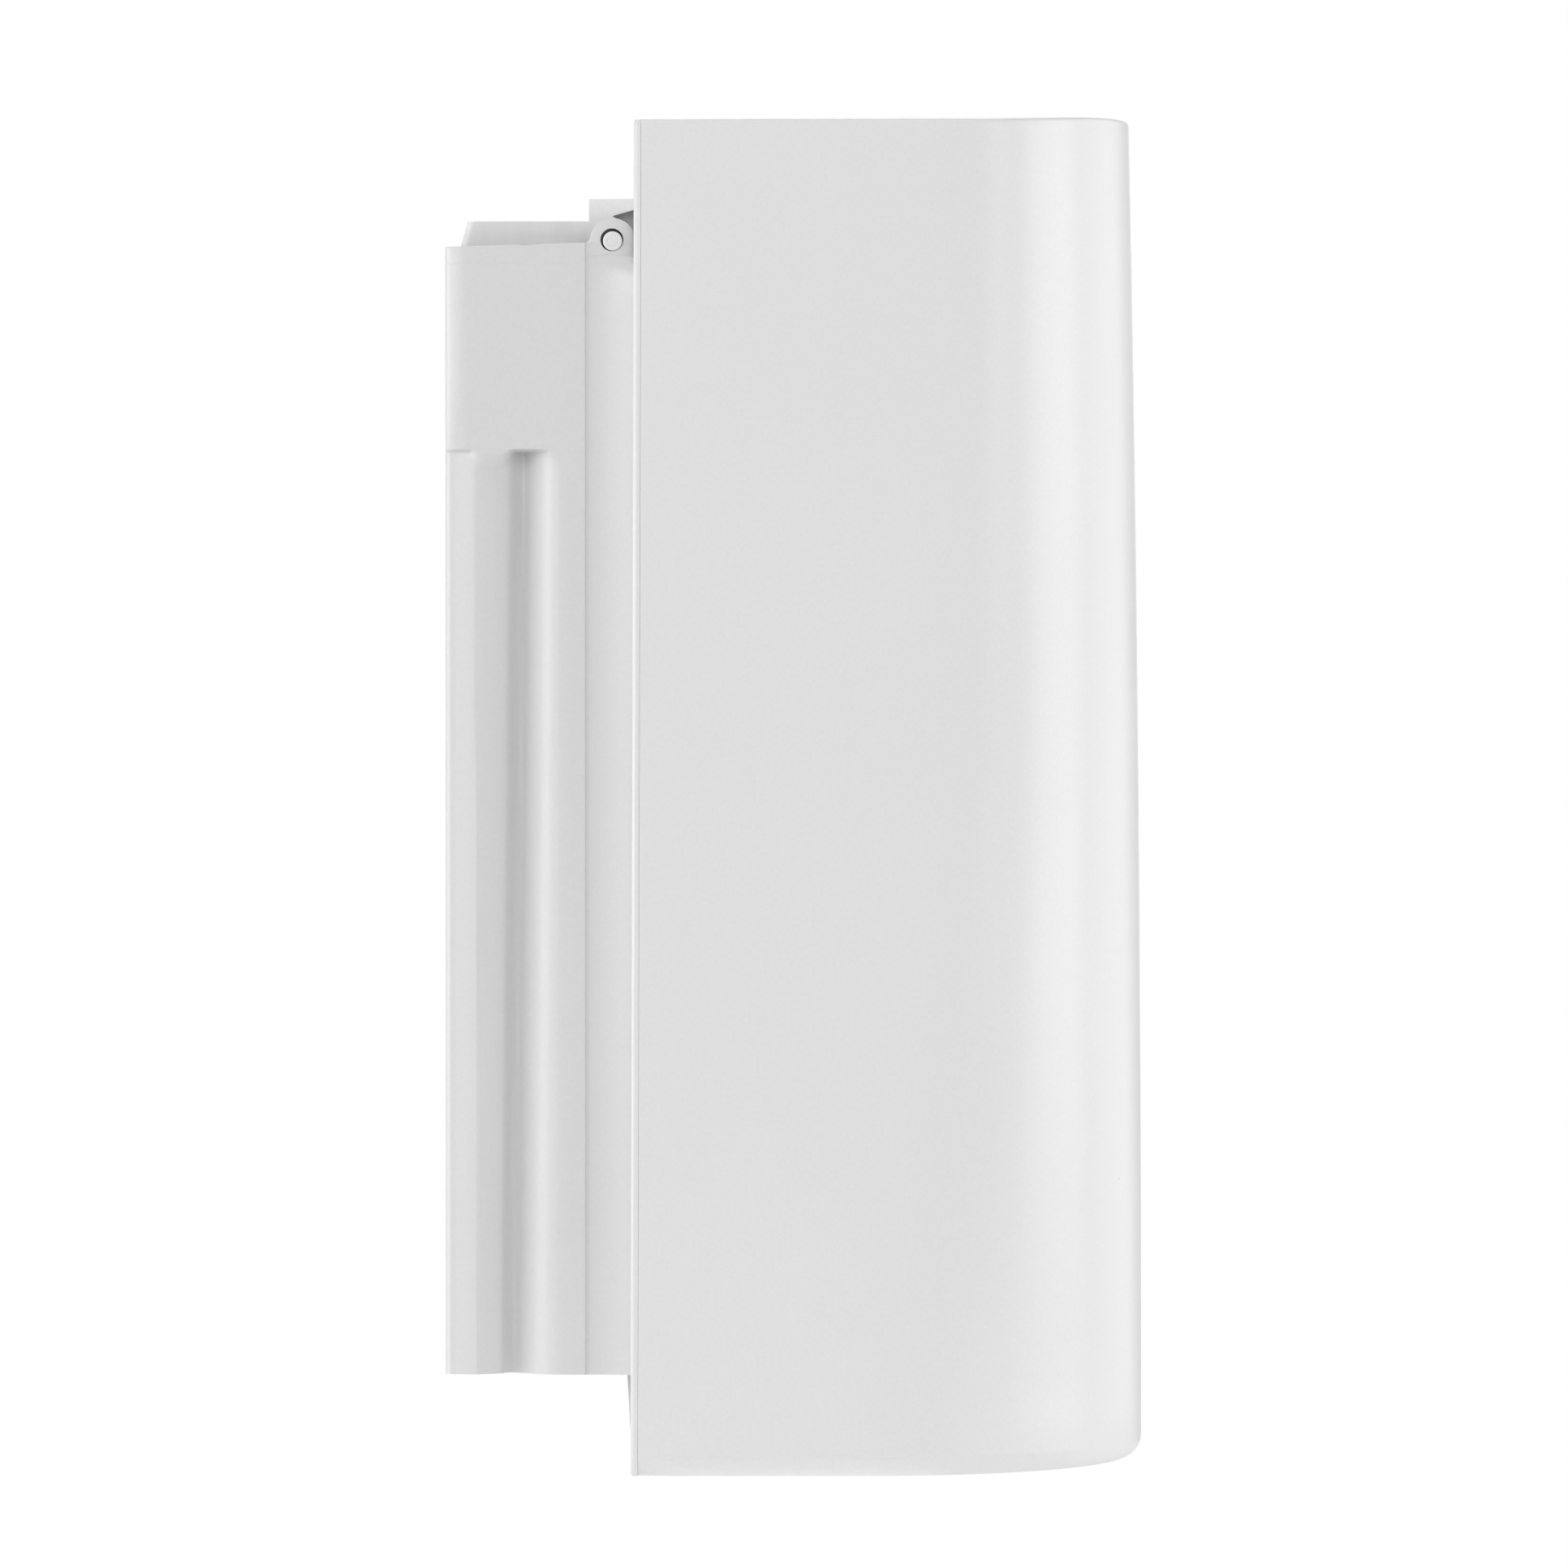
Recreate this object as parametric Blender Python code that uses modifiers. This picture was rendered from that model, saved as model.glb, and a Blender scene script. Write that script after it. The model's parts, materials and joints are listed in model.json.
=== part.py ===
"""A wall-mounted, side-drive garage door opener, built as separate sub-parts.

Frame: metres, +Z up. The wall is the plane Y = 0 and the opener stands out towards -Y.
The origin is the centre of the rear channel's wall face. The hood hangs on two pins at the
top of the channel and swings up and forward about an axis along X.
"""

import math

import bmesh
import bpy
from mathutils import Matrix, Vector

OBJECT = "garage_door_opener"
GAP = 0.0003

# rear channel: a U of sheet whose back lies on the wall
CHANNEL_HALF_W = 0.086
CHANNEL_WALL = 0.002
CHANNEL_FRONT = -0.0540
CHANNEL_BOTTOM = -0.166
CHANNEL_TOP_REAR = 0.1653
CHANNEL_TOP_FRONT = 0.1665
CHANNEL_CORNER = 0.004
GROOVE_TOP = 0.106
GROOVE_LEDGE = 0.001
GROOVE_PROFILE = [
    (0.0, 0.0026),
    (-0.0092, 0.0009),
    (-0.0150, 0.0018),
    (-0.0220, 0.0080),
    (-0.0240, 0.0080),
    (-0.0276, 0.0040),
    (-0.0320, 0.0005),
    (-0.0338, 0.0),
]
BAND_START = -0.0413
BAND_STEP = 0.0006

# hood hinge: its axis lies along X
HINGE_Y = -0.0492
HINGE_Z = 0.167
EAR_RADIUS = 0.0067
EAR_HOLE = 0.00335
EAR_OUTER_X = 0.0856
EAR_SHEET = 0.0022
PIN_RADIUS = 0.00283
KNUCKLE_X = (0.042, 0.072)
KNUCKLE_BORE = 0.00313

# hood
HOOD_HALF_W = 0.090
HOOD_WALL = 0.002
HOOD_REAR = -0.0565
HOOD_LEAN = -0.0011
HOOD_TOP = 0.2025
HOOD_BOTTOM = -0.196
HOOD_HEIGHT = HOOD_TOP - HOOD_BOTTOM
HOOD_FRONT_TOP = -0.2032
HOOD_FRONT_BELLY = 0.0039
HOOD_SIDE_END = -0.1583
HOOD_TOP_FILLET = 0.0012
HOOD_BOTTOM_FILLET = 0.0065
HOOD_CREASE = math.radians(10.0)
CROWN_REAR = 0.0023
CROWN_PEAK = 0.0045
CROWN_PEAK_Y = -0.150
FRAME_FRONT = -0.0562
FRAME_REAR = -0.0544
FRAME_OPENING_X = 0.0795
FRAME_OPENING_Z = (-0.158, 0.150)

# drive train: both axes lie along X
OUTPUT_Y = -0.066
OUTPUT_Z = 0.070
GEAR_TEETH = 40
PINION_TEETH = 12
MODULE = 0.0015
PRESSURE_ANGLE = math.radians(25.0)
TOOTH_THINNING = 0.0004
PINION_Y = -0.102
PINION_Z = OUTPUT_Z - 0.015
SHAFT_RADIUS = 0.009
SHAFT_X = (0.020, 0.097)
GEAR_X = (0.042, 0.054)
PINION_X = (0.040, 0.056)
COLLAR_X = (0.0922, 0.126)
COLLAR_RADIUS = 0.020
TORSION_BAR_BORE = 0.01285
SHAFT_NOTCH = 0.011

# inside: everything below stands on the chassis plate
CHASSIS_Y = -0.024
CHASSIS_STEEL = 0.002
CHASSIS_HALF_W = 0.074
CHASSIS_FLANGE = 0.010
CHASSIS_Z = (-0.150, 0.106)
CHASSIS_FACE = CHASSIS_Y - CHASSIS_STEEL
CHASSIS_SPOTS = [(x, z) for x in (-0.066, 0.066) for z in (-0.080, 0.020)]
BOARD_Y = -0.0443
BOARD_THICK = 0.0016
BOARD_FACE = BOARD_Y - BOARD_THICK - GAP
MOTOR_RADIUS = 0.032
GEARHEAD_RADIUS = 0.023
BUTTON_RADIUS = 0.005
BUTTON_Z = -0.044
BUTTONS = {"up_button": 0.020, "learn_button": 0.037, "down_button": 0.054}
LEVER_Y = -0.106
LEVER_Z = 0.092
LOCK_Y = -0.068
LOCK_Z = -0.138


def clear_scene():
    for thing in list(bpy.data.objects):
        bpy.data.objects.remove(thing)


def collection(name):
    made = bpy.data.collections.new(name)
    bpy.context.scene.collection.children.link(made)
    return made


clear_scene()
PARTS = collection(OBJECT)
CUTTERS = collection("cutters")


def material(name, colour, roughness, metallic=0.0):
    made = bpy.data.materials.new(name)
    made.use_nodes = True
    shader = made.node_tree.nodes["Principled BSDF"]
    shader.inputs["Base Color"].default_value = (*colour, 1.0)
    shader.inputs["Roughness"].default_value = roughness
    shader.inputs["Metallic"].default_value = metallic
    return made


WHITE = material("white_plastic", (0.80, 0.80, 0.79), 0.35)
WHITE_CHANNEL = material("white_channel", (0.78, 0.78, 0.77), 0.40)
GREY_LINER = material("grey_liner", (0.62, 0.62, 0.61), 0.50)
STEEL = material("zinc_steel", (0.62, 0.63, 0.64), 0.35, 1.0)
BRONZE = material("sintered_bronze", (0.50, 0.33, 0.16), 0.45, 1.0)
DARK_METAL = material("motor_paint", (0.05, 0.05, 0.055), 0.40, 0.3)
CASTING = material("die_casting", (0.55, 0.56, 0.57), 0.50, 1.0)
BOARD = material("circuit_board", (0.03, 0.16, 0.06), 0.45)
BLACK = material("black_plastic", (0.03, 0.03, 0.032), 0.50)
COPPER = material("enamelled_copper", (0.45, 0.17, 0.06), 0.35, 0.8)
NYLON = material("gear_nylon", (0.72, 0.70, 0.62), 0.45)
LENS = material("frosted_lens", (0.85, 0.86, 0.86), 0.30)
RED = material("red_lever", (0.55, 0.03, 0.03), 0.40)
YELLOW = material("yellow_button", (0.75, 0.55, 0.05), 0.40)
GREY_BUTTON = material("grey_button", (0.25, 0.26, 0.27), 0.45)


def add_object(name, mesh, look, group=None):
    made = bpy.data.objects.new(name, mesh)
    (group or PARTS).objects.link(made)
    if look is not None:
        mesh.materials.append(look)
    return made


def object_from(bm, name, look, group=None):
    mesh = bpy.data.meshes.new(name)
    bm.to_mesh(mesh)
    bm.free()
    return add_object(name, mesh, look, group)


def bevel(thing, width, segments=1):
    rounding = thing.modifiers.new("rounding", "BEVEL")
    rounding.width = width
    rounding.segments = segments
    rounding.limit_method = "ANGLE"
    return thing


def smooth(thing, degrees=35.0):
    thing.data.shade_smooth()
    thing.data.set_sharp_from_angle(angle=math.radians(degrees))
    return thing


def box(name, x, y, z, look=None, group=None, rounding=0.0):
    """A box between two values on each axis."""
    bm = bmesh.new()
    bmesh.ops.create_cube(bm, size=1.0)
    size = Vector([abs(side[1] - side[0]) for side in (x, y, z)])
    centre = Vector([(side[1] + side[0]) / 2 for side in (x, y, z)])
    bmesh.ops.scale(bm, vec=size, verts=bm.verts)
    bmesh.ops.translate(bm, vec=centre, verts=bm.verts)
    made = object_from(bm, name, look, group)
    return bevel(made, rounding) if rounding else made


AXIS_TURN = {
    "X": Matrix.Rotation(math.pi / 2, 4, "Y"),
    "Y": Matrix.Rotation(math.pi / 2, 4, "X"),
    "Z": Matrix.Identity(4),
}


def put_cylinder(bm, radius, ends, centre, axis, segments):
    """Adds a cylinder to bm. centre gives the two coordinates off the axis, in X, Y, Z order."""
    middle = (ends[0] + ends[1]) / 2
    place = list(centre)
    place.insert("XYZ".index(axis), middle)
    bmesh.ops.create_cone(
        bm,
        cap_ends=True,
        segments=segments,
        radius1=radius,
        radius2=radius,
        depth=abs(ends[1] - ends[0]),
        matrix=Matrix.Translation(place) @ AXIS_TURN[axis],
    )


def cylinder(name, radius, ends, centre, axis, look=None, group=None, segments=24, rounding=0.0):
    bm = bmesh.new()
    put_cylinder(bm, radius, ends, centre, axis, segments)
    made = smooth(object_from(bm, name, look, group))
    return bevel(made, rounding) if rounding else made


def cylinders(name, radius, ends, centres, axis, look, group=None, segments=12):
    """Several equal cylinders in one mesh, to be cut from a part or joined to it."""
    bm = bmesh.new()
    for centre in centres:
        put_cylinder(bm, radius, ends, centre, axis, segments)
    return object_from(bm, name, look, group)


def turned(name, profile, centre, look, steps=32):
    """A profile of (radius, x) turned about an axis along X through centre = (y, z)."""
    bm = bmesh.new()
    points = [bm.verts.new((radius, 0.0, along)) for radius, along in profile]
    for first, second in zip(points, points[1:] + points[:1]):
        if profile[points.index(first)][0] > 0.0 or profile[points.index(second)][0] > 0.0:
            bm.edges.new((first, second))
    made = object_from(bm, name, look)
    made.matrix_world = Matrix.Translation((0.0, *centre)) @ AXIS_TURN["X"]
    screw = made.modifiers.new("turning", "SCREW")
    screw.steps = steps
    screw.render_steps = steps
    screw.use_merge_vertices = True
    screw.merge_threshold = 0.00001
    screw.use_normal_calculate = True
    return made


YZ_PLANE = Matrix(((0, 0, 1, 0), (1, 0, 0, 0), (0, 1, 0, 0), (0, 0, 0, 1)))
XZ_PLANE = Matrix(((1, 0, 0, 0), (0, 0, -1, 0), (0, 1, 0, 0), (0, 0, 0, 1)))
XY_PLANE = Matrix.Identity(4)


def outline_plate(name, outlines, plane, ends, look=None, group=None):
    """A flat plate from a closed outline and any holes in it, between two places along the plane's normal."""
    curve = bpy.data.curves.new(name, "CURVE")
    curve.dimensions = "2D"
    curve.fill_mode = "BOTH"
    curve.extrude = abs(ends[1] - ends[0]) / 2
    for outline in outlines:
        spline = curve.splines.new("POLY")
        spline.points.add(len(outline) - 1)
        for point, (u, v) in zip(spline.points, outline):
            point.co = (u, v, 0.0, 1.0)
        spline.use_cyclic_u = True
    source = bpy.data.objects.new(name + "_curve", curve)
    PARTS.objects.link(source)
    source.matrix_world = Matrix.Translation(normal_of(plane) * (ends[0] + ends[1]) / 2) @ plane
    return mesh_of_curve(source, name, look, group)


def normal_of(plane):
    along = plane.to_3x3() @ Vector((0.0, 0.0, 1.0))
    return Vector([abs(value) for value in along])


def mesh_of_curve(source, name, look, group=None):
    """The closed mesh of a curve, with its caps welded on. The curve is removed."""
    bpy.context.view_layer.update()
    graph = bpy.context.evaluated_depsgraph_get()
    mesh = bpy.data.meshes.new_from_object(source.evaluated_get(graph))
    mesh.name = name
    mesh.transform(source.matrix_world)
    bm = bmesh.new()
    bm.from_mesh(mesh)
    bmesh.ops.remove_doubles(bm, verts=bm.verts, dist=0.000001)
    bmesh.ops.recalc_face_normals(bm, faces=bm.faces)
    bm.to_mesh(mesh)
    bm.free()
    mesh.materials.clear()
    bpy.data.objects.remove(source)
    return add_object(name, mesh, look, group)


def circle(centre, radius, segments=24, start=0.0, sweep=2 * math.pi):
    """Points round a circle, or along an arc of it when sweep is less than a full turn."""
    full = abs(sweep) > 6.28
    steps = segments if full else segments - 1
    angles = [start + sweep * k / steps for k in range(segments)]
    return [(centre[0] + radius * math.cos(a), centre[1] + radius * math.sin(a)) for a in angles]


def rounded_rectangle(u, v, radius, segments=4):
    """A rectangle between two values on each axis, with round corners."""
    corners = [
        ((u[1] - radius, v[1] - radius), 0.0),
        ((u[0] + radius, v[1] - radius), math.pi / 2),
        ((u[0] + radius, v[0] + radius), math.pi),
        ((u[1] - radius, v[0] + radius), 1.5 * math.pi),
    ]
    points = []
    for centre, start in corners:
        points += circle(centre, radius, segments, start, math.pi / 2)
    return points


def helper(thing):
    """Hides a cutter, or a shape that is joined to another, from the model."""
    thing.hide_render = True
    thing.display_type = "WIRE"
    for group in list(thing.users_collection):
        group.objects.unlink(thing)
    CUTTERS.objects.link(thing)
    return thing


def combine(thing, other, operation):
    change = thing.modifiers.new(operation.lower(), "BOOLEAN")
    change.operation = operation
    change.solver = "EXACT"
    change.object = helper(other)
    return thing


def cut(thing, *others):
    for other in others:
        combine(thing, other, "DIFFERENCE")
    return thing


def join(thing, *others):
    for other in others:
        combine(thing, other, "UNION")
    return thing


def origin_on(thing, point):
    """Moves a moving piece's origin onto its joint axis, and leaves its shape where it is."""
    turn = thing.matrix_world.to_3x3()
    shift = Vector(point) - thing.matrix_world.translation
    thing.data.transform(Matrix.Translation(-(turn.inverted() @ shift)))
    thing.matrix_world = Matrix.Translation(shift) @ thing.matrix_world
    return thing


# ---------------------------------------------------------------- rear channel


def groove_inset(y):
    """How far the grooved part of the side wall lies inside the flat part, at a depth y."""
    for (y0, d0), (y1, d1) in zip(GROOVE_PROFILE, GROOVE_PROFILE[1:]):
        if y1 <= y <= y0:
            return d0 + (d1 - d0) * (y - y0) / (y1 - y0)
    return 0.0


def channel_section(grooved, inset=0.0):
    """Plan outline from the +X front edge, round the back, to the -X front edge."""
    depths = [CHANNEL_FRONT, BAND_START - 0.0004, BAND_START]
    depths += [y for y, _ in reversed(GROOVE_PROFILE[1:])]
    depths.append(-CHANNEL_CORNER)
    half = []
    for y in depths:
        side = CHANNEL_HALF_W - inset - (groove_inset(y) if grooved else 0.0)
        if y < BAND_START:
            side -= BAND_STEP
        half.append((side, y))
    corner_x = half[-1][0] - CHANNEL_CORNER
    for angle in (30.0, 60.0, 90.0):
        turn = math.radians(angle)
        x = corner_x + CHANNEL_CORNER * math.cos(turn)
        half.append((x, -CHANNEL_CORNER + CHANNEL_CORNER * math.sin(turn)))
    return half + [(-x, y) for x, y in reversed(half)]


def loft(bm, rings):
    """Quads between rings of points; each ring is open, and all have the same number of points."""
    rows = [[bm.verts.new(point) for point in ring] for ring in rings]
    for low, high in zip(rows, rows[1:]):
        for k in range(len(low) - 1):
            bm.faces.new((low[k], low[k + 1], high[k + 1], high[k]))
    return rows


def channel_top(y):
    share = min(1.0, y / BAND_START)
    return CHANNEL_TOP_REAR + (CHANNEL_TOP_FRONT - CHANNEL_TOP_REAR) * share


def thicken(thing, thickness, offset=-1.0):
    shell = thing.modifiers.new("wall", "SOLIDIFY")
    shell.thickness = thickness
    shell.offset = offset
    shell.use_even_offset = True
    shell.use_quality_normals = True
    return thing


def rear_channel():
    grooved = channel_section(True)
    plain = channel_section(False)
    ledge = GROOVE_TOP - GROOVE_LEDGE
    rings = [
        [(x, y, CHANNEL_BOTTOM) for x, y in grooved],
        [(x, y, ledge) for x, y in grooved],
        [(x, y, GROOVE_TOP) for x, y in plain],
        [(x, y, channel_top(y)) for x, y in plain],
    ]
    bm = bmesh.new()
    loft(bm, rings)
    made = thicken(object_from(bm, "rear_channel", WHITE_CHANNEL), CHANNEL_WALL)
    bosses = (CHASSIS_Y + GAP, -CHANNEL_WALL / 2)
    join(made, cylinders("chassis_bosses", 0.0050, bosses, CHASSIS_SPOTS, "Y", None, segments=14))
    for side in (-1, 1):
        ends = sorted((side * (EAR_OUTER_X - EAR_SHEET), side * EAR_OUTER_X))
        join(made, cylinder("ear", EAR_RADIUS, ends, (HINGE_Y, HINGE_Z), "X", segments=32))
    bm = bmesh.new()
    for side in (-1, 1):
        ends = sorted((side * 0.080, side * 0.090))
        put_cylinder(bm, EAR_HOLE, ends, (HINGE_Y, HINGE_Z), "X", 24)
    for x in (-0.052, 0.052):
        for z in (-0.120, 0.075):
            put_cylinder(bm, 0.0035, (-0.004, 0.002), (x, z), "Y", 16)
    cut(made, object_from(bm, "channel_holes", None, CUTTERS))
    return made


def channel_end_plate():
    outline = [(x, max(y, CHANNEL_FRONT)) for x, y in channel_section(True, 0.0034)]
    outline = [(x, min(y, -CHANNEL_WALL - GAP)) for x, y in outline]
    hole = circle((0.040, -0.030), 0.008, 20)
    return outline_plate("channel_end_plate", [outline, hole], XY_PLANE, (-0.1658, -0.1638), WHITE_CHANNEL)


def end_plate_grommet():
    """A rubber blanking grommet that lies nearly flush in the end plate."""
    made = cylinder("end_plate_grommet", 0.0077, (-0.1660, -0.1630), (0.040, -0.030), "Z", BLACK, segments=20)
    return bevel(made, 0.0006)


def wiring_liner():
    """An insulating tray in the top of the channel: two sides, a back that leans forward, and a floor."""
    floor, sill, rim = 0.112, 0.166, 0.1730
    front, back_low, back_high, half = -0.045, -0.0045, -0.0064, 0.078
    levels = [(floor, back_low), (sill, back_low), (rim, back_high)]
    bm = bmesh.new()
    rings = [[(half, front, z), (half, back, z), (-half, back, z), (-half, front, z)] for z, back in levels]
    rows = loft(bm, rings)
    bm.faces.new(tuple(reversed(rows[0])))
    bmesh.ops.recalc_face_normals(bm, faces=bm.faces)
    outside = [face for face in bm.faces if abs(face.normal.z) < 0.5 and face.calc_center_median().x > 0.07]
    if outside and outside[0].normal.x < 0.0:
        bmesh.ops.reverse_faces(bm, faces=bm.faces)
    return thicken(object_from(bm, "wiring_liner", GREY_LINER), 0.0015)


def mains_wiring():
    block = box("mains_terminal_block", (-0.030, 0.030), (-0.022, -0.0066), (0.114, 0.130), BLACK)
    bm = bmesh.new()
    for k in range(3):
        put_cylinder(bm, 0.003, (-0.0225, -0.017), (-0.018 + 0.018 * k, 0.122), "Y", 12)
    cut(block, object_from(bm, "terminal_wells", None, CUTTERS))
    ends = [(-0.067, -0.037), (-0.020, -0.0066), (0.140, 0.152)]
    clamp = box("cord_clamp", *ends, WHITE_CHANNEL, rounding=0.001)
    cut(clamp, cylinder("cord_way", 0.005, (0.13, 0.16), (-0.052, -0.0133), "Z", segments=20))


# ------------------------------------------------------------------------ hood


def hood_share(z):
    """0 at the hood's top and 1 at its bottom."""
    return min(1.0, max(0.0, (HOOD_TOP - z) / HOOD_HEIGHT))


def hood_side_end(z):
    """Where the flat side gives way to the curved front."""
    u = hood_share(z)
    return HOOD_SIDE_END + 0.0025 * u + 0.031 * u**4 - 0.006 * max(0.0, u - 0.95) / 0.05


def hood_front(z):
    return HOOD_FRONT_TOP - HOOD_FRONT_BELLY * (1.0 - (1.0 - hood_share(z)) ** 2.2)


def rear_lean(z):
    """The hood's rear edge leans forward by HOOD_LEAN from its bottom to its top."""
    return HOOD_LEAN * (1.0 - hood_share(z))


def hood_crown(x, y):
    """Height of the top's crown above its side edges."""
    back = max(0.0, (y - HOOD_REAR) / (CROWN_PEAK_Y - HOOD_REAR))
    fore = (y - CROWN_PEAK_Y) / (HOOD_FRONT_TOP - CROWN_PEAK_Y)
    height = CROWN_REAR + (CROWN_PEAK - CROWN_REAR) * math.sin(back * math.pi / 2)
    if y < CROWN_PEAK_Y:
        height = CROWN_PEAK - (CROWN_PEAK - CROWN_REAR) * fore**2
    return height * (1.0 - (x / HOOD_HALF_W) ** 2)


def hood_outline(z, inset, side_steps=3, front_steps=9):
    """Plan outline at a height, from the rear of the +X side round the front to the -X side."""
    half_w = HOOD_HALF_W - inset
    side_end = hood_side_end(z)
    front = hood_front(z) + inset
    rear = HOOD_REAR + rear_lean(z)
    half = [(half_w, rear + (side_end - rear) * k / side_steps) for k in range(side_steps)]
    reach = 0.56 * (side_end - front)
    start = Vector((half_w, side_end))
    leave = start + reach * Vector((-math.sin(HOOD_CREASE), -math.cos(HOOD_CREASE)))
    end = Vector((0.0, front))
    arrive = end + Vector((0.56 * half_w, 0.0))
    for k in range(front_steps + 1):
        t = k / front_steps
        s = 1.0 - t
        point = s**3 * start + 3 * s * s * t * leave + 3 * s * t * t * arrive + t**3 * end
        half.append((point.x, point.y))
    return half + [(-x, y) for x, y in reversed(half[:-1])]


def hood_rings():
    """Sections from the edge of the underside to the edge of the top."""
    rings = []
    for k in range(4):
        turn = math.radians(30.0 * k)
        inset = HOOD_BOTTOM_FILLET * (1.0 - math.sin(turn))
        lift = HOOD_BOTTOM_FILLET * (1.0 - math.cos(turn))
        outline = hood_outline(HOOD_BOTTOM + lift, inset)
        rings.append([(x, y, HOOD_BOTTOM + lift) for x, y in outline])
    for z in (-0.178, -0.155, -0.120, -0.070, 0.0, 0.090):
        rings.append([(x, y, z) for x, y in hood_outline(z, 0.0)])
    for inset, drop in ((0.0, HOOD_TOP_FILLET), (HOOD_TOP_FILLET, 0.0)):
        outline = hood_outline(HOOD_TOP, inset)
        rings.append([(x, y, HOOD_TOP + hood_crown(x, y) - drop) for x, y in outline])
    return rings


def cap(bm, ring, height, across=4):
    """Closes a ring with strips across X. Inner points take their height from a function of x and y."""
    last = len(ring) - 1
    rows = []
    for k in range(last // 2 + 1):
        right, left = ring[k], ring[last - k]
        if right is left:
            rows.append([right] * (across + 1))
            continue
        row = [right]
        for j in range(1, across):
            x = right.co.x + (left.co.x - right.co.x) * j / across
            row.append(bm.verts.new((x, right.co.y, height(x, right.co.y))))
        rows.append(row + [left])
    faces = []
    for near, far in zip(rows, rows[1:]):
        for j in range(across):
            corners = [near[j], near[j + 1], far[j + 1], far[j]]
            kept = [v for i, v in enumerate(corners) if v not in corners[:i]]
            faces.append(bm.faces.new(kept))
    return faces


def hood_shell():
    bm = bmesh.new()
    rows = loft(bm, hood_rings())
    cap(bm, rows[0], lambda x, y: HOOD_BOTTOM, across=2)
    cap(bm, rows[-1], lambda x, y: HOOD_TOP + hood_crown(x, y))
    bmesh.ops.recalc_face_normals(bm, faces=bm.faces)
    top = max(bm.faces, key=lambda face: face.calc_center_median().z)
    if top.normal.z < 0.0:
        bmesh.ops.reverse_faces(bm, faces=bm.faces)
    made = smooth(thicken(object_from(bm, "hood_shell", WHITE), HOOD_WALL), 20.0)
    cut(made, box("shaft_notch", (0.080, 0.095), (OUTPUT_Y - SHAFT_NOTCH, -0.050), notch_z()))
    cut(made, box("lens_hole", (-0.045, 0.045), (-0.140, -0.090), (-0.199, -0.190)))
    vents = bmesh.new()
    for k in range(6):
        centre = Matrix.Translation((-0.050 + 0.020 * k, -0.073, -0.195))
        place = centre @ Matrix.Diagonal((0.005, 0.016, 0.010, 1.0))
        bmesh.ops.create_cube(vents, size=1.0, matrix=place)
    cut(made, object_from(vents, "vent_slots", None, CUTTERS))
    cut(made, cylinder("lock_hole", 0.0034, (0.085, 0.093), (LOCK_Y, LOCK_Z), "X", segments=16))
    return made


def notch_z():
    return (OUTPUT_Z - SHAFT_NOTCH, OUTPUT_Z + SHAFT_NOTCH)


def frame_outline():
    """The hood's rear outline, with its crowned top."""
    corner, top_corner = HOOD_BOTTOM_FILLET, HOOD_TOP_FILLET
    half_w = HOOD_HALF_W
    points = circle((half_w - corner, HOOD_BOTTOM + corner), corner, 4, -math.pi / 2, math.pi / 2)
    points.append((half_w, HOOD_TOP - top_corner))
    for k in range(9):
        x = (half_w - top_corner) * (1.0 - k / 4.0)
        points.append((x, HOOD_TOP + hood_crown(x, HOOD_REAR)))
    points.append((-half_w, HOOD_TOP - top_corner))
    points += circle((-half_w + corner, HOOD_BOTTOM + corner), corner, 4, math.pi, math.pi / 2)
    return points


def knuckle(side):
    """A hook that holds a hinge pin: a boss round the pin, a web behind it and a flange to the frame."""
    shape = [(-0.0070, 0.0128), (0.0072, 0.0128), (0.0072, 0.0025)]
    shape += circle((0.0, 0.0), 0.0066, 9, math.radians(15.0), -math.radians(215.0))
    shape += [(-0.0024, 0.0060), (0.0002, 0.0078), (-0.0070, 0.0098)]
    outline = [(HINGE_Y + y, HINGE_Z + z) for y, z in shape]
    ends = sorted((side * KNUCKLE_X[0], side * KNUCKLE_X[1]))
    return outline_plate("knuckle", [outline], YZ_PLANE, ends)


def hood_back_frame():
    opening = rounded_rectangle((-FRAME_OPENING_X, FRAME_OPENING_X), FRAME_OPENING_Z, 0.006, 3)
    outlines = [frame_outline(), opening]
    made = outline_plate("hood_back_frame", outlines, XZ_PLANE, (FRAME_FRONT, FRAME_REAR), WHITE)
    for vertex in made.data.vertices:
        vertex.co.y += rear_lean(vertex.co.z)
    join(made, knuckle(-1), knuckle(1))
    wedge = [(-0.0532, -0.1666), (-0.0555, -0.1666), (-0.0555, -0.1900), (-0.0545, -0.1900)]
    join(made, outline_plate("rear_wedge", [wedge], YZ_PLANE, (-0.070, 0.070)))
    tabs = bmesh.new()
    for side in (-1, 1):
        for z in (-0.120, 0.010, 0.120):
            size = Matrix.Diagonal((0.0014, 0.0110, 0.020, 1.0))
            place = Matrix.Translation((side * 0.0869, -0.0610, z))
            bmesh.ops.create_cube(tabs, size=1.0, matrix=place @ size)
    join(made, object_from(tabs, "snap_tabs", None, CUTTERS))
    cut(made, box("frame_notch", (0.070, 0.095), (-0.070, -0.050), notch_z()))
    holes = bmesh.new()
    for side in (-1, 1):
        ends = sorted((side * 0.059, side * 0.080))
        put_cylinder(holes, KNUCKLE_BORE, ends, (HINGE_Y, HINGE_Z), "X", 20)
        centre = Matrix.Translation((side * 0.0846, -0.0556, HINGE_Z))
        place = centre @ Matrix.Diagonal((0.0034, 0.010, 0.0130, 1.0))
        bmesh.ops.create_cube(holes, size=1.0, matrix=place)
    cut(made, object_from(holes, "pin_bores", None, CUTTERS))
    return made


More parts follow.
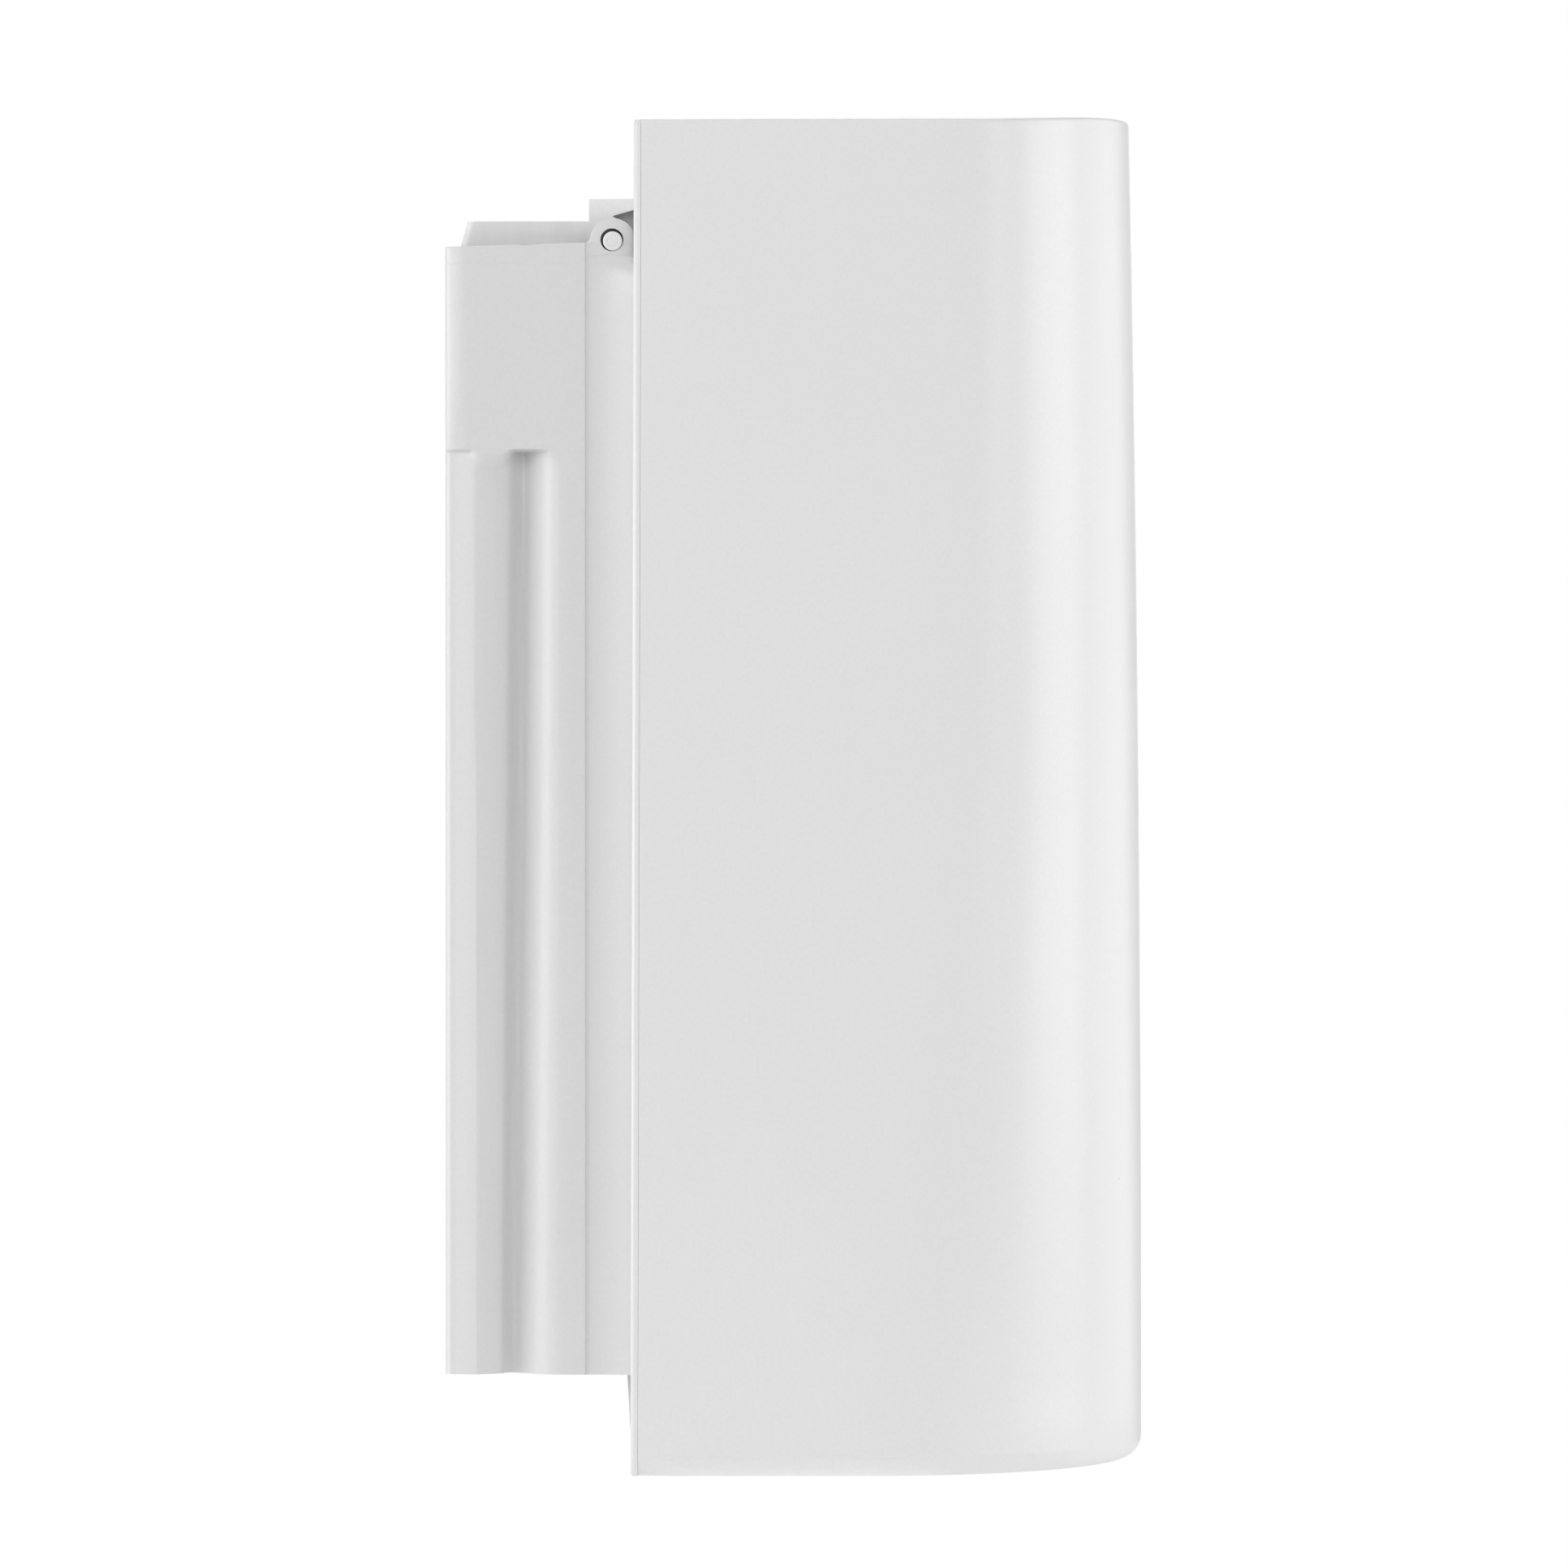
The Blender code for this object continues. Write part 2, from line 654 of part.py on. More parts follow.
def hinge_pins():
    for name, side in (("hinge_pin_left", -1), ("hinge_pin_right", 1)):
        ends = sorted((side * 0.0595, side * 0.0862))
        pin = cylinder(name, PIN_RADIUS, ends, (HINGE_Y, HINGE_Z), "X", WHITE, segments=20, rounding=0.0004)
        origin_on(pin, (0.0, HINGE_Y, HINGE_Z))


def hood_light():
    lens = box("light_lens", (-0.0446, 0.0446), (-0.1396, -0.0904), (-0.1960, -0.1930), LENS)
    join(lens, box("lens_flange", (-0.049, 0.049), (-0.144, -0.086), (-0.1937, -0.1919)))
    box("led_board", (-0.040, 0.040), (-0.135, -0.095), (-0.1910, -0.1894), BOARD)


def cover_lock():
    """A quarter-turn stud in the hood's side. Its cross bar turns behind the keeper on the chassis."""
    stud = cylinder("cover_lock_stud", 0.0070, (0.0904, 0.0929), (LOCK_Y, LOCK_Z), "X", STEEL, segments=24)
    join(stud, cylinder("shank", 0.0030, (0.0715, 0.0915), (LOCK_Y, LOCK_Z), "X", segments=16))
    bar = [(0.0705, 0.0730), (LOCK_Y - 0.0022, LOCK_Y + 0.0022), (LOCK_Z - 0.007, LOCK_Z + 0.007)]
    join(stud, box("cross_bar", *bar))
    slot = [(0.0919, 0.095), (LOCK_Y - 0.0008, LOCK_Y + 0.0008), (LOCK_Z - 0.009, LOCK_Z + 0.009)]
    cut(stud, box("coin_slot", *slot))
    origin_on(stud, (0.0, LOCK_Y, LOCK_Z))
    keeper = [
        (-0.028, -0.148),
        (-0.028, -0.128),
        (-0.078, -0.128),
        (-0.078, LOCK_Z + 0.0046),
        (-0.0625, LOCK_Z + 0.0046),
        (-0.0625, LOCK_Z - 0.0046),
        (-0.078, LOCK_Z - 0.0046),
        (-0.078, -0.148),
    ]
    outline_plate("lock_keeper", [keeper], YZ_PLANE, (0.0743, 0.0768), STEEL)


# ----------------------------------------------------------------- drive train


def involute_tooth(teeth):
    """Half a tooth from root to tip, as (radius, half angle) pairs."""
    pitch = MODULE * teeth / 2
    base = pitch * math.cos(PRESSURE_ANGLE)
    root = pitch - 1.25 * MODULE
    tip = pitch + 0.9 * MODULE
    half_at_pitch = (math.pi * MODULE / 2 - TOOTH_THINNING) / 2 / pitch
    spread = math.tan(PRESSURE_ANGLE) - PRESSURE_ANGLE
    flank = []
    first = max(base, root)
    for k in range(4):
        radius = first + (tip - first) * k / 3
        angle = math.acos(min(1.0, base / radius))
        flank.append((radius, half_at_pitch + spread - (math.tan(angle) - angle)))
    if root < base:
        flank.insert(0, (root, flank[0][1]))
    return flank


def gear_outline(teeth, centre, first_tooth):
    """A spur gear's outline with a tooth centred at the angle first_tooth, in the Y-Z plane."""
    flank = involute_tooth(teeth)
    points = []
    for tooth in range(teeth):
        middle = first_tooth + 2 * math.pi * tooth / teeth
        sides = [(radius, middle - half) for radius, half in flank]
        sides += [(radius, middle + half) for radius, half in reversed(flank)]
        points += [(centre[0] + r * math.cos(a), centre[1] + r * math.sin(a)) for r, a in sides]
    return points


def gears():
    output = (OUTPUT_Y, OUTPUT_Z)
    motor = (PINION_Y, PINION_Z)
    towards = math.atan2(motor[1] - output[1], motor[0] - output[0])
    outline = gear_outline(GEAR_TEETH, output, towards)
    bore = circle(output, SHAFT_RADIUS + GAP, 24)
    gear = outline_plate("output_gear", [outline, bore], YZ_PLANE, GEAR_X, NYLON)
    origin_on(gear, (0.0, *output))
    outline = gear_outline(PINION_TEETH, motor, towards + math.pi + math.pi / PINION_TEETH)
    bore = circle(motor, 0.0043, 16)
    pinion = outline_plate("drive_pinion", [outline, bore], YZ_PLANE, PINION_X, STEEL)
    origin_on(pinion, (0.0, *motor))
    shaft = cylinder("motor_shaft", 0.0040, (0.0312, 0.0570), motor, "X", STEEL, segments=16)
    origin_on(shaft, (0.0, *motor))


def output_drive():
    centre = (OUTPUT_Y, OUTPUT_Z)
    shaft = cylinder("output_shaft", SHAFT_RADIUS, SHAFT_X, centre, "X", STEEL, segments=24, rounding=0.0006)
    origin_on(shaft, (0.0, *centre))
    chamfer = 0.0012
    hub = SHAFT_RADIUS + GAP
    seat = COLLAR_X[0] + 0.006
    profile = [
        (TORSION_BAR_BORE, COLLAR_X[1]),
        (COLLAR_RADIUS - chamfer, COLLAR_X[1]),
        (COLLAR_RADIUS, COLLAR_X[1] - chamfer),
        (COLLAR_RADIUS, COLLAR_X[0] + chamfer),
        (COLLAR_RADIUS - chamfer, COLLAR_X[0]),
        (hub, COLLAR_X[0]),
        (hub, seat),
        (TORSION_BAR_BORE, seat),
    ]
    collar = turned("drive_collar", profile, centre, STEEL, 32)
    screw_x = (0.106, 0.118)
    holes = bmesh.new()
    for x in screw_x:
        put_cylinder(holes, 0.0034, (OUTPUT_Z, OUTPUT_Z + 0.030), (x, OUTPUT_Y), "Z", 12)
    cut(collar, object_from(holes, "screw_holes", None, CUTTERS))
    origin_on(collar, (0.0, *centre))
    ends = (OUTPUT_Z + TORSION_BAR_BORE + 0.0008, OUTPUT_Z + COLLAR_RADIUS + 0.004)
    for number, x in enumerate(screw_x, 1):
        name = f"collar_set_screw_{number}"
        screw = cylinder(name, 0.0030, ends, (x, OUTPUT_Y), "Z", DARK_METAL, segments=12)
        origin_on(screw, (0.0, *centre))
    rim = circle(centre, 0.013, 24)
    bore = circle(centre, SHAFT_RADIUS + GAP, 16)
    wheel = outline_plate("encoder_wheel", [rim, bore], YZ_PLANE, (0.0225, 0.0240), BLACK)
    origin_on(wheel, (0.0, *centre))


def gearbox():
    y = (-0.118, CHASSIS_FACE - GAP)
    z = (0.033, 0.107)
    wall = 0.003
    inside = ((0.030, 0.059), (y[0] + wall, y[1] - wall), (z[0] + wall, z[1] - wall))
    housing = box("gearbox_housing", (0.034, 0.062), y, z, CASTING, rounding=0.002)
    cut(housing, box("gearbox_room", *inside))
    cut(housing, cylinder("output_way", 0.0120, (0.055, 0.065), (OUTPUT_Y, OUTPUT_Z), "X"))
    outline = rounded_rectangle(y, z, 0.002, 2)
    ways = [circle((OUTPUT_Y, OUTPUT_Z), 0.0120), circle((PINION_Y, PINION_Z), 0.0060, 16)]
    outline_plate("gearbox_cover", [outline, *ways], YZ_PLANE, (0.0312, 0.0337), CASTING)
    for name, ends in (("output_bush_inner", (0.0290, 0.0370)), ("output_bush_outer", (0.0560, 0.0660))):
        rings = [circle((OUTPUT_Y, OUTPUT_Z), radius, 24) for radius in (0.0117, SHAFT_RADIUS + GAP)]
        outline_plate(name, rings, YZ_PLANE, ends, BRONZE)


def motor():
    centre = (PINION_Y, PINION_Z)
    gearhead, can = (-0.002, 0.0300), (-0.068, -0.0023)
    cylinder("motor_gearhead", GEARHEAD_RADIUS, gearhead, centre, "X", CASTING, segments=28, rounding=0.001)
    cylinder("motor_can", MOTOR_RADIUS, can, centre, "X", DARK_METAL, segments=32, rounding=0.0015)
    cylinder("motor_end_cap", 0.0295, (-0.0765, -0.0683), centre, "X", BLACK, segments=28, rounding=0.002)
    bracket = [(CHASSIS_FACE - GAP, 0.015), (CHASSIS_FACE - GAP, 0.095), (-0.060, 0.095)]
    bracket += [(PINION_Y, 0.095), (PINION_Y, 0.0875)]
    bracket += circle(centre, MOTOR_RADIUS + GAP, 14, math.radians(90.0), -math.radians(180.0))[1:-1]
    bracket += [(PINION_Y, 0.0225), (PINION_Y, 0.015)]
    outline_plate("motor_bracket", [bracket], YZ_PLANE, (-0.042, -0.038), STEEL)
    sensor = box("encoder_sensor", (0.0160, 0.0270), (-0.0500, -0.0410), (0.062, 0.078), BLACK)
    cut(sensor, box("sensor_slot", (0.0210, 0.0255), (-0.0550, -0.0450), (0.050, 0.090)))


# ----------------------------------------------------------- chassis and board


def chassis():
    section = [
        (CHASSIS_HALF_W, CHASSIS_Y - CHASSIS_FLANGE),
        (CHASSIS_HALF_W, CHASSIS_Y),
        (-CHASSIS_HALF_W, CHASSIS_Y),
        (-CHASSIS_HALF_W, CHASSIS_Y - CHASSIS_FLANGE),
    ]
    bm = bmesh.new()
    loft(bm, [[(x, y, z) for x, y in section] for z in CHASSIS_Z])
    plate = thicken(object_from(bm, "chassis_plate", STEEL), CHASSIS_STEEL)
    spots = [(x, z) for x in (0.003, 0.050) for z in (-0.136, 0.0165)]
    posts = (BOARD_Y + GAP, CHASSIS_FACE + 0.0005)
    join(plate, cylinders("board_posts", 0.0030, posts, spots, "Y", None))
    head = (CHASSIS_FACE - GAP - 0.0025, CHASSIS_FACE - GAP)
    for number, spot in enumerate(CHASSIS_SPOTS, 1):
        cylinder(f"chassis_screw_{number}", 0.0040, head, spot, "Y", STEEL, segments=14)


def transformer():
    core = box("transformer_core", (-0.066, -0.010), (-0.066, -0.040), (-0.146, -0.090), DARK_METAL)
    for name, x in (("window_left", (-0.059, -0.045)), ("window_right", (-0.031, -0.017))):
        cut(core, box(name, x, (-0.080, -0.030), (-0.137, -0.099)))
    winding = [(-0.0585, -0.0175), (-0.078, -0.028), (-0.1365, -0.0995)]
    coil = box("transformer_coil", *winding, COPPER, rounding=0.002)
    cut(coil, box("leg_way", (-0.0453, -0.0307), (-0.0663, -0.0397), (-0.150, -0.080)))


def logic_board():
    box("logic_board", (-0.002, 0.068), (BOARD_Y - BOARD_THICK, BOARD_Y), (-0.140, 0.020), BOARD)
    face = BOARD_FACE
    box("motor_connector", (0.006, 0.022), (face - 0.010, face), (0.000, 0.010), WHITE_CHANNEL)
    box("relay_open", (0.028, 0.044), (face - 0.016, face), (-0.014, 0.008), BLACK, rounding=0.0008)
    box("relay_close", (0.048, 0.064), (face - 0.016, face), (-0.014, 0.008), BLACK, rounding=0.0008)
    box("radio_module", (0.008, 0.036), (face - 0.004, face), (-0.098, -0.074), STEEL, rounding=0.0005)
    ends = (face - 0.030, face)
    cylinder("supply_capacitor", 0.009, ends, (0.052, -0.086), "Y", DARK_METAL, rounding=0.001)
    box("terminal_block", (0.056, 0.067), (face - 0.011, face), (-0.134, -0.102), GREY_BUTTON)
    fins = [(0.006, face)]
    for k in range(6):
        x = 0.006 + 0.008 * k
        fins += [(x, face - 0.022), (x + 0.002, face - 0.022), (x + 0.002, face - 0.004)]
        if k < 5:
            fins.append((x + 0.008, face - 0.004))
    fins[-1] = (0.048, face)
    outline_plate("heat_sink", [fins], XY_PLANE, (-0.132, -0.106), STEEL)


def control_panel():
    """A raised bezel on the board with three round keys and the switches behind them."""
    front = -0.072
    face = BOARD_FACE
    x, z = (0.008, 0.066), (-0.064, -0.024)
    bezel = box("control_bezel", x, (front, face), z, WHITE_CHANNEL, rounding=0.001)
    room = [(x[0] + 0.002, x[1] - 0.002), (front + 0.002, -0.040), (z[0] + 0.002, z[1] - 0.002)]
    cut(bezel, box("bezel_room", *room))
    holes = bmesh.new()
    for place in BUTTONS.values():
        ends = (front - 0.002, front + 0.004)
        put_cylinder(holes, BUTTON_RADIUS + 0.0004, ends, (place, BUTTON_Z), "Y", 20)
    cut(bezel, object_from(holes, "key_holes", None, CUTTERS))
    looks = {"up_button": GREY_BUTTON, "learn_button": YELLOW, "down_button": GREY_BUTTON}
    for name, place in BUTTONS.items():
        centre = (place, BUTTON_Z)
        cap_ends = (front - 0.003, front + 0.0030)
        key = cylinder(name, BUTTON_RADIUS, cap_ends, centre, "Y", looks[name], segments=20)
        flange = (front + 0.0026, front + 0.0044)
        join(key, cylinder("key_flange", BUTTON_RADIUS + 0.0014, flange, centre, "Y", segments=20))
        origin_on(key, (place, front, BUTTON_Z))
        switch = name.replace("button", "switch")
        half = 0.003
        ends = (-0.0655, face)
        box(switch, (place - half, place + half), ends, (BUTTON_Z - half, BUTTON_Z + half), BLACK)


def release_lever():
    centre = (LEVER_Y, LEVER_Z)
    foot = (LEVER_Y, LEVER_Z - 0.105)
    outline = circle(centre, 0.0075, 9, 0.0, math.pi) + circle(foot, 0.0065, 9, math.pi, math.pi)
    holes = [circle(centre, 0.0033, 16), circle(foot, 0.0030, 14)]
    lever = outline_plate("release_lever", [outline, *holes], YZ_PLANE, (0.0645, 0.0670), RED)
    origin_on(lever, (0.0, *centre))
    pivot = cylinder("release_pivot", 0.0030, (0.0623, 0.0690), centre, "X", STEEL, segments=16)
    join(pivot, cylinder("pivot_head", 0.0050, (0.0673, 0.0690), centre, "X", segments=16))


def motor_lead():
    """The supply lead from the motor to its connector on the board."""
    route = [
        (-0.056, -0.082, 0.0272),
        (-0.056, -0.081, 0.0190),
        (-0.050, -0.078, 0.0080),
        (-0.036, -0.072, 0.0060),
        (-0.018, -0.064, 0.0120),
        (-0.002, -0.057, 0.0180),
        (0.008, -0.0525, 0.0195),
        (0.0135, -0.0515, 0.0160),
        (0.014, -0.0515, 0.0104),
    ]
    curve = bpy.data.curves.new("motor_lead", "CURVE")
    curve.dimensions = "3D"
    curve.bevel_depth = 0.0022
    curve.bevel_resolution = 2
    curve.use_fill_caps = True
    spline = curve.splines.new("POLY")
    points = smooth_route(route, 3)
    spline.points.add(len(points) - 1)
    for point, place in zip(spline.points, points):
        point.co = (*place, 1.0)
    source = bpy.data.objects.new("motor_lead_curve", curve)
    PARTS.objects.link(source)
    return smooth(mesh_of_curve(source, "motor_lead", BLACK))


def smooth_route(route, steps):
    """Points on a Catmull-Rom curve through the route's own points."""
    knots = [Vector(place) for place in route]
    padded = [2 * knots[0] - knots[1], *knots, 2 * knots[-1] - knots[-2]]
    points = []
    for a, b, c, d in zip(padded, padded[1:], padded[2:], padded[3:]):
        for k in range(steps):
            t = k / steps
            slope = (c - a) + (2 * a - 5 * b + 4 * c - d) * t + (3 * b - a - 3 * c + d) * t * t
            points.append(b + 0.5 * t * slope)
    return points + [knots[-1]]


def build():
    rear_channel()
    channel_end_plate()
    end_plate_grommet()
    wiring_liner()
    mains_wiring()
    hood_shell()
    hood_back_frame()
    hinge_pins()
    hood_light()
    cover_lock()
    gears()
    output_drive()
    gearbox()
    motor()
    chassis()
    transformer()
    logic_board()
    control_panel()
    release_lever()
    motor_lead()


build()
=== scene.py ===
"""Studio scene of a wall-mounted, side-drive garage door opener.

Metres, +Z up. The wall is the plane Y = 0 and the opener stands out towards -Y, with its drive
collar on the +X side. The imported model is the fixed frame. Its outer skins and most of its inner
pieces are replaced here by finer pieces of the same size, in the same places.
"""

import json
import math

import bmesh
import bpy
from mathutils import Matrix, Vector


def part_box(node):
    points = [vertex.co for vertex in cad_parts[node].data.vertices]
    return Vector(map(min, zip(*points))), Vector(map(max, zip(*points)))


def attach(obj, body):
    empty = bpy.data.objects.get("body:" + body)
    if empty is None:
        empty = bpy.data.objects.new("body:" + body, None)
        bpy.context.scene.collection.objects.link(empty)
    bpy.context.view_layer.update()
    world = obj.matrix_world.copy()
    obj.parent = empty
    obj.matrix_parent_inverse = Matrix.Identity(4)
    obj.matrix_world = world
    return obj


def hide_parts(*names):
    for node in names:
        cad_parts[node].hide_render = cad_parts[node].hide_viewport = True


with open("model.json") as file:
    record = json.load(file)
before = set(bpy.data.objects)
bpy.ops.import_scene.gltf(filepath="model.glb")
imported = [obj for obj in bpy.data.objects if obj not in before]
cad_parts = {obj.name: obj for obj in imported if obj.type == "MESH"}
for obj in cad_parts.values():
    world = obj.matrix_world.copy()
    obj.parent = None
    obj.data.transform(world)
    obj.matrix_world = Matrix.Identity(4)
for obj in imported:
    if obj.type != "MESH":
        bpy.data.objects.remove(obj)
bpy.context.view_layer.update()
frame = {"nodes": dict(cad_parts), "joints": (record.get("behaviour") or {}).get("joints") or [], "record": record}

RECORD = frame["record"]
BODY = {node: body for body, nodes in RECORD["behaviour"]["bodies"].items() for node in nodes}
SLOT = {part["node"]: part["material_slot"] for part in RECORD["subparts"]}
JOINTS = {joint["name"]: joint for joint in frame["joints"]}
GAP = 0.0003

# camera and studio
CAMERA_AT = Vector((-3.39, -0.0995, 0.064))
CAMERA_AIM = Vector((-0.09, -0.0995, 0.0077))
SENSOR = 36.0
VIEW_WIDTH = 0.4598
FLOOR_Z = -0.42
FLOOR_RADIUS = 1.7
ROOM_LIGHT = 0.323
STUDIO_CENTRE = (0.0, -0.1, 0.0)
SOFTBOXES = (  # name, place, width and height, power
    ("key", (-2.2, -1.6, 0.80), (1.5, 1.5), 13.2),
    ("front", (-0.2, -2.3, 0.35), (1.6, 1.6), 20.3),
    ("rear", (-0.5, 2.1, 0.30), (1.6, 1.6), 25.0),
    ("rear_side", (-2.2, 1.4, 0.80), (1.3, 1.3), 16.0),
    ("top", (-0.3, -0.1, 2.2), (1.4, 1.4), 8.4),
    ("low", (0.0, -0.12, -0.40), (0.17, 0.14), 0.09),
    ("far_side", (2.5, 0.1, 0.50), (1.4, 1.4), 11.0),
    ("far", (1.6, -1.9, 0.35), (1.6, 1.6), 7.2),
)

# hood: its places come from the frame, and its shape rules are those of the CAD
HOOD_LO, HOOD_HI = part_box("hood_shell")
HOOD_HALF_W = HOOD_HI.x
HOOD_BOTTOM = HOOD_LO.z
HOOD_WALL = 0.002
CROWN_REAR = 0.0023
CROWN_PEAK = 0.0045
CROWN_PEAK_Y = -0.150
HOOD_TOP = HOOD_HI.z - CROWN_PEAK
HOOD_HEIGHT = HOOD_TOP - HOOD_BOTTOM
HOOD_REAR = HOOD_HI.y
HOOD_LEAN = -0.0011
HOOD_FRONT_BELLY = 0.0039
HOOD_FRONT_TOP = HOOD_LO.y + HOOD_FRONT_BELLY
HOOD_SIDE_END = -0.1583
HOOD_TOP_FILLET = 0.0012
HOOD_BOTTOM_FILLET = 0.0065
HOOD_BOTTOM_EDGE = (
    (0.0065, 0.0),
    (0.0055, 0.0001),
    (0.0047, 0.0007),
    (0.0027, 0.0028),
    (0.0007, 0.0050),
    (0.0002, 0.0057),
    (0.0, 0.0065),
)
CREASE_TOP = math.radians(16.0)
CREASE_BOTTOM = math.radians(6.0)
SECOND_CREASE = math.radians(7.0)
CREASE_BAND = 0.0054
FRAME_REAR = -0.0544
FRAME_OPENING_X = 0.0795
FRAME_OPENING_Z = (-0.158, 0.150)

# channel
CHANNEL_LO, CHANNEL_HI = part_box("rear_channel")
CHANNEL_HALF_W = CHANNEL_HI.x
CHANNEL_WALL = 0.002
CHANNEL_FRONT = CHANNEL_LO.y
CHANNEL_BOTTOM = CHANNEL_LO.z
CHANNEL_TOP_REAR = 0.1653
CHANNEL_TOP_FRONT = 0.1665
GROOVE_TOP = 0.106
GROOVE_LEDGE = 0.0012
BAND_START = -0.0413
BAND_STEP = 0.0006
BAND_FLARE = 0.0030
WITNESS_Z = 0.1603
CHASSIS_FRONT_Y = -0.026

# axes that the joints state
HINGE_Y, HINGE_Z = JOINTS["hood_hinge"]["pos_m"][1:]
OUTPUT_Y, OUTPUT_Z = JOINTS["output_spin"]["pos_m"][1:]
PINION_Y, PINION_Z = JOINTS["pinion_spin"]["pos_m"][1:]
LEVER_Y, LEVER_Z = JOINTS["release_pull"]["pos_m"][1:]
LOCK_Y, LOCK_Z = JOINTS["lock_turn"]["pos_m"][1:]
EAR_RADIUS = 0.0067
EAR_HOLE = 0.00335
EAR_SHEET = 0.0022
SHAFT_NOTCH = 0.011

YZ_PLANE = Matrix(((0, 0, 1, 0), (1, 0, 0, 0), (0, 1, 0, 0), (0, 0, 0, 1)))
XZ_PLANE = Matrix(((1, 0, 0, 0), (0, 0, -1, 0), (0, 1, 0, 0), (0, 0, 0, 1)))
XY_PLANE = Matrix.Identity(4)
AXIS_TURN = {
    "X": Matrix.Rotation(math.pi / 2, 4, "Y"),
    "Y": Matrix.Rotation(math.pi / 2, 4, "X"),
    "Z": Matrix.Identity(4),
}


# ------------------------------------------------------------------- materials


class Look:
    """A Principled material, with helpers that add procedural colour, roughness and relief."""

    def __init__(self, name, roughness=0.4, metallic=0.0, **sockets):
        self.material = bpy.data.materials.new(name)
        self.material.use_nodes = True
        self.tree = self.material.node_tree
        self.shader = self.tree.nodes["Principled BSDF"]
        self.place = self.node("ShaderNodeTexCoord").outputs["Object"]
        self.set(self.shader, Roughness=roughness, Metallic=metallic, **sockets)
        self.relief = None

    def node(self, kind, **settings):
        made = self.tree.nodes.new(kind)
        for key, value in settings.items():
            setattr(made, key, value)
        return made

    def set(self, node, **sockets):
        for key, value in sockets.items():
            node.inputs[key.replace("_", " ")].default_value = value

    def link(self, source, target):
        self.tree.links.new(source, target)

    def stretched(self, scale):
        """Object coordinates, scaled by a different amount on each axis."""
        mapping = self.node("ShaderNodeMapping")
        mapping.inputs["Scale"].default_value = scale
        self.link(self.place, mapping.inputs["Vector"])
        return mapping.outputs["Vector"]

    def noise(self, scale, detail=3.0, rough=0.5, place=None):
        made = self.node("ShaderNodeTexNoise")
        self.set(made, Scale=scale, Detail=detail, Roughness=rough)
        self.link(place or self.place, made.inputs["Vector"])
        return made.outputs["Fac"]

    def cells(self, scale, feature="F1", place=None):
        made = self.node("ShaderNodeTexVoronoi", feature=feature)
        self.set(made, Scale=scale)
        self.link(place or self.place, made.inputs["Vector"])
        return made

    def waves(self, scale, axis="Z", distortion=0.0, profile="SIN", place=None):
        made = self.node("ShaderNodeTexWave", wave_type="BANDS", bands_direction=axis, wave_profile=profile)
        self.set(made, Scale=scale, Distortion=distortion, Detail=1.0)
        self.link(place or self.place, made.inputs["Vector"])
        return made.outputs["Fac"]

    def ramp(self, source, stops, interpolation="LINEAR"):
        """Stops are (position, grey or colour) pairs, at most as many as a ramp holds."""
        made = self.node("ShaderNodeValToRGB")
        made.color_ramp.interpolation = interpolation
        points = made.color_ramp.elements
        while len(points) < len(stops):
            points.new(0.5)
        for point, (position, value) in zip(points, stops):
            point.position = position
            point.color = (*value, 1.0) if isinstance(value, tuple) else (value, value, value, 1.0)
        self.link(source, made.inputs["Fac"])
        return made.outputs["Color"]

    def mix(self, factor, first, second, blend="MIX"):
        """first and second are outputs or colours."""
        made = self.node("ShaderNodeMix", data_type="RGBA", blend_type=blend)
        sockets = (made.inputs[0], made.inputs[6], made.inputs[7])
        for socket, value in zip(sockets, (factor, first, second)):
            if isinstance(value, bpy.types.NodeSocket):
                self.link(value, socket)
            else:
                socket.default_value = (*value, 1.0) if isinstance(value, tuple) else value
        return made.outputs[2]

    def colour(self, source):
        self.link(source, self.shader.inputs["Base Color"])
        return self

    def vary(self, base, other, scale, low=0.35, high=0.65, detail=3.0, place=None):
        """Base colour drifts between two colours in soft patches."""
        patches = self.noise(scale, detail, place=place)
        shade = self.ramp(patches, [(low, base), (high, other)])
        self.link(shade, self.shader.inputs["Base Color"])
        return shade

    def rough(self, source, low, high):
        """Roughness follows a texture between two values."""
        span = self.node("ShaderNodeMapRange")
        self.set(span, To_Min=low, To_Max=high)
        self.link(source, span.inputs["Value"])
        self.link(span.outputs["Result"], self.shader.inputs["Roughness"])
        return self

    def bump(self, source, strength, depth):
        """Adds relief of a depth in metres. Several reliefs stack."""
        made = self.node("ShaderNodeBump")
        self.set(made, Strength=strength, Distance=depth)
        self.link(source, made.inputs["Height"])
        if self.relief is not None:
            self.link(self.relief, made.inputs["Normal"])
        self.relief = made.outputs["Normal"]
        self.link(self.relief, self.shader.inputs["Normal"])
        return self


def moulded_white(name, dark, light, roughness, grain):
    """Injection-moulded white plastic: faint drifts of tone, a spark-eroded grain, and a few dark specks."""
    look = Look(name, roughness, Specular_IOR_Level=0.5, Coat_Weight=0.12, Coat_Roughness=0.18)
    drift = look.ramp(look.noise(9.0, 4.0), [(0.35, dark), (0.65, light)])
    mottle = look.ramp(look.noise(900.0, 2.0, 0.7), [(0.30, 0.965), (0.70, 1.0)])
    tone = look.mix(1.0, drift, mottle, "MULTIPLY")
    dots = look.cells(34.0)
    dot = look.ramp(dots.outputs["Distance"], [(0.006, 0.62), (0.013, 1.0)])
    chosen = look.ramp(dots.outputs["Color"], [(0.30, 0.0), (0.34, 1.0)])
    shown = look.mix(chosen, dot, (1.0, 1.0, 1.0))
    look.colour(look.mix(1.0, tone, shown, "MULTIPLY"))
    look.rough(look.noise(60.0, 3.0), roughness - 0.04, roughness + 0.05)
    look.bump(look.noise(1400.0, 2.0, 0.6), 0.35, grain)
    look.bump(look.noise(22.0, 2.0), 0.20, 0.00035)
    return look.material


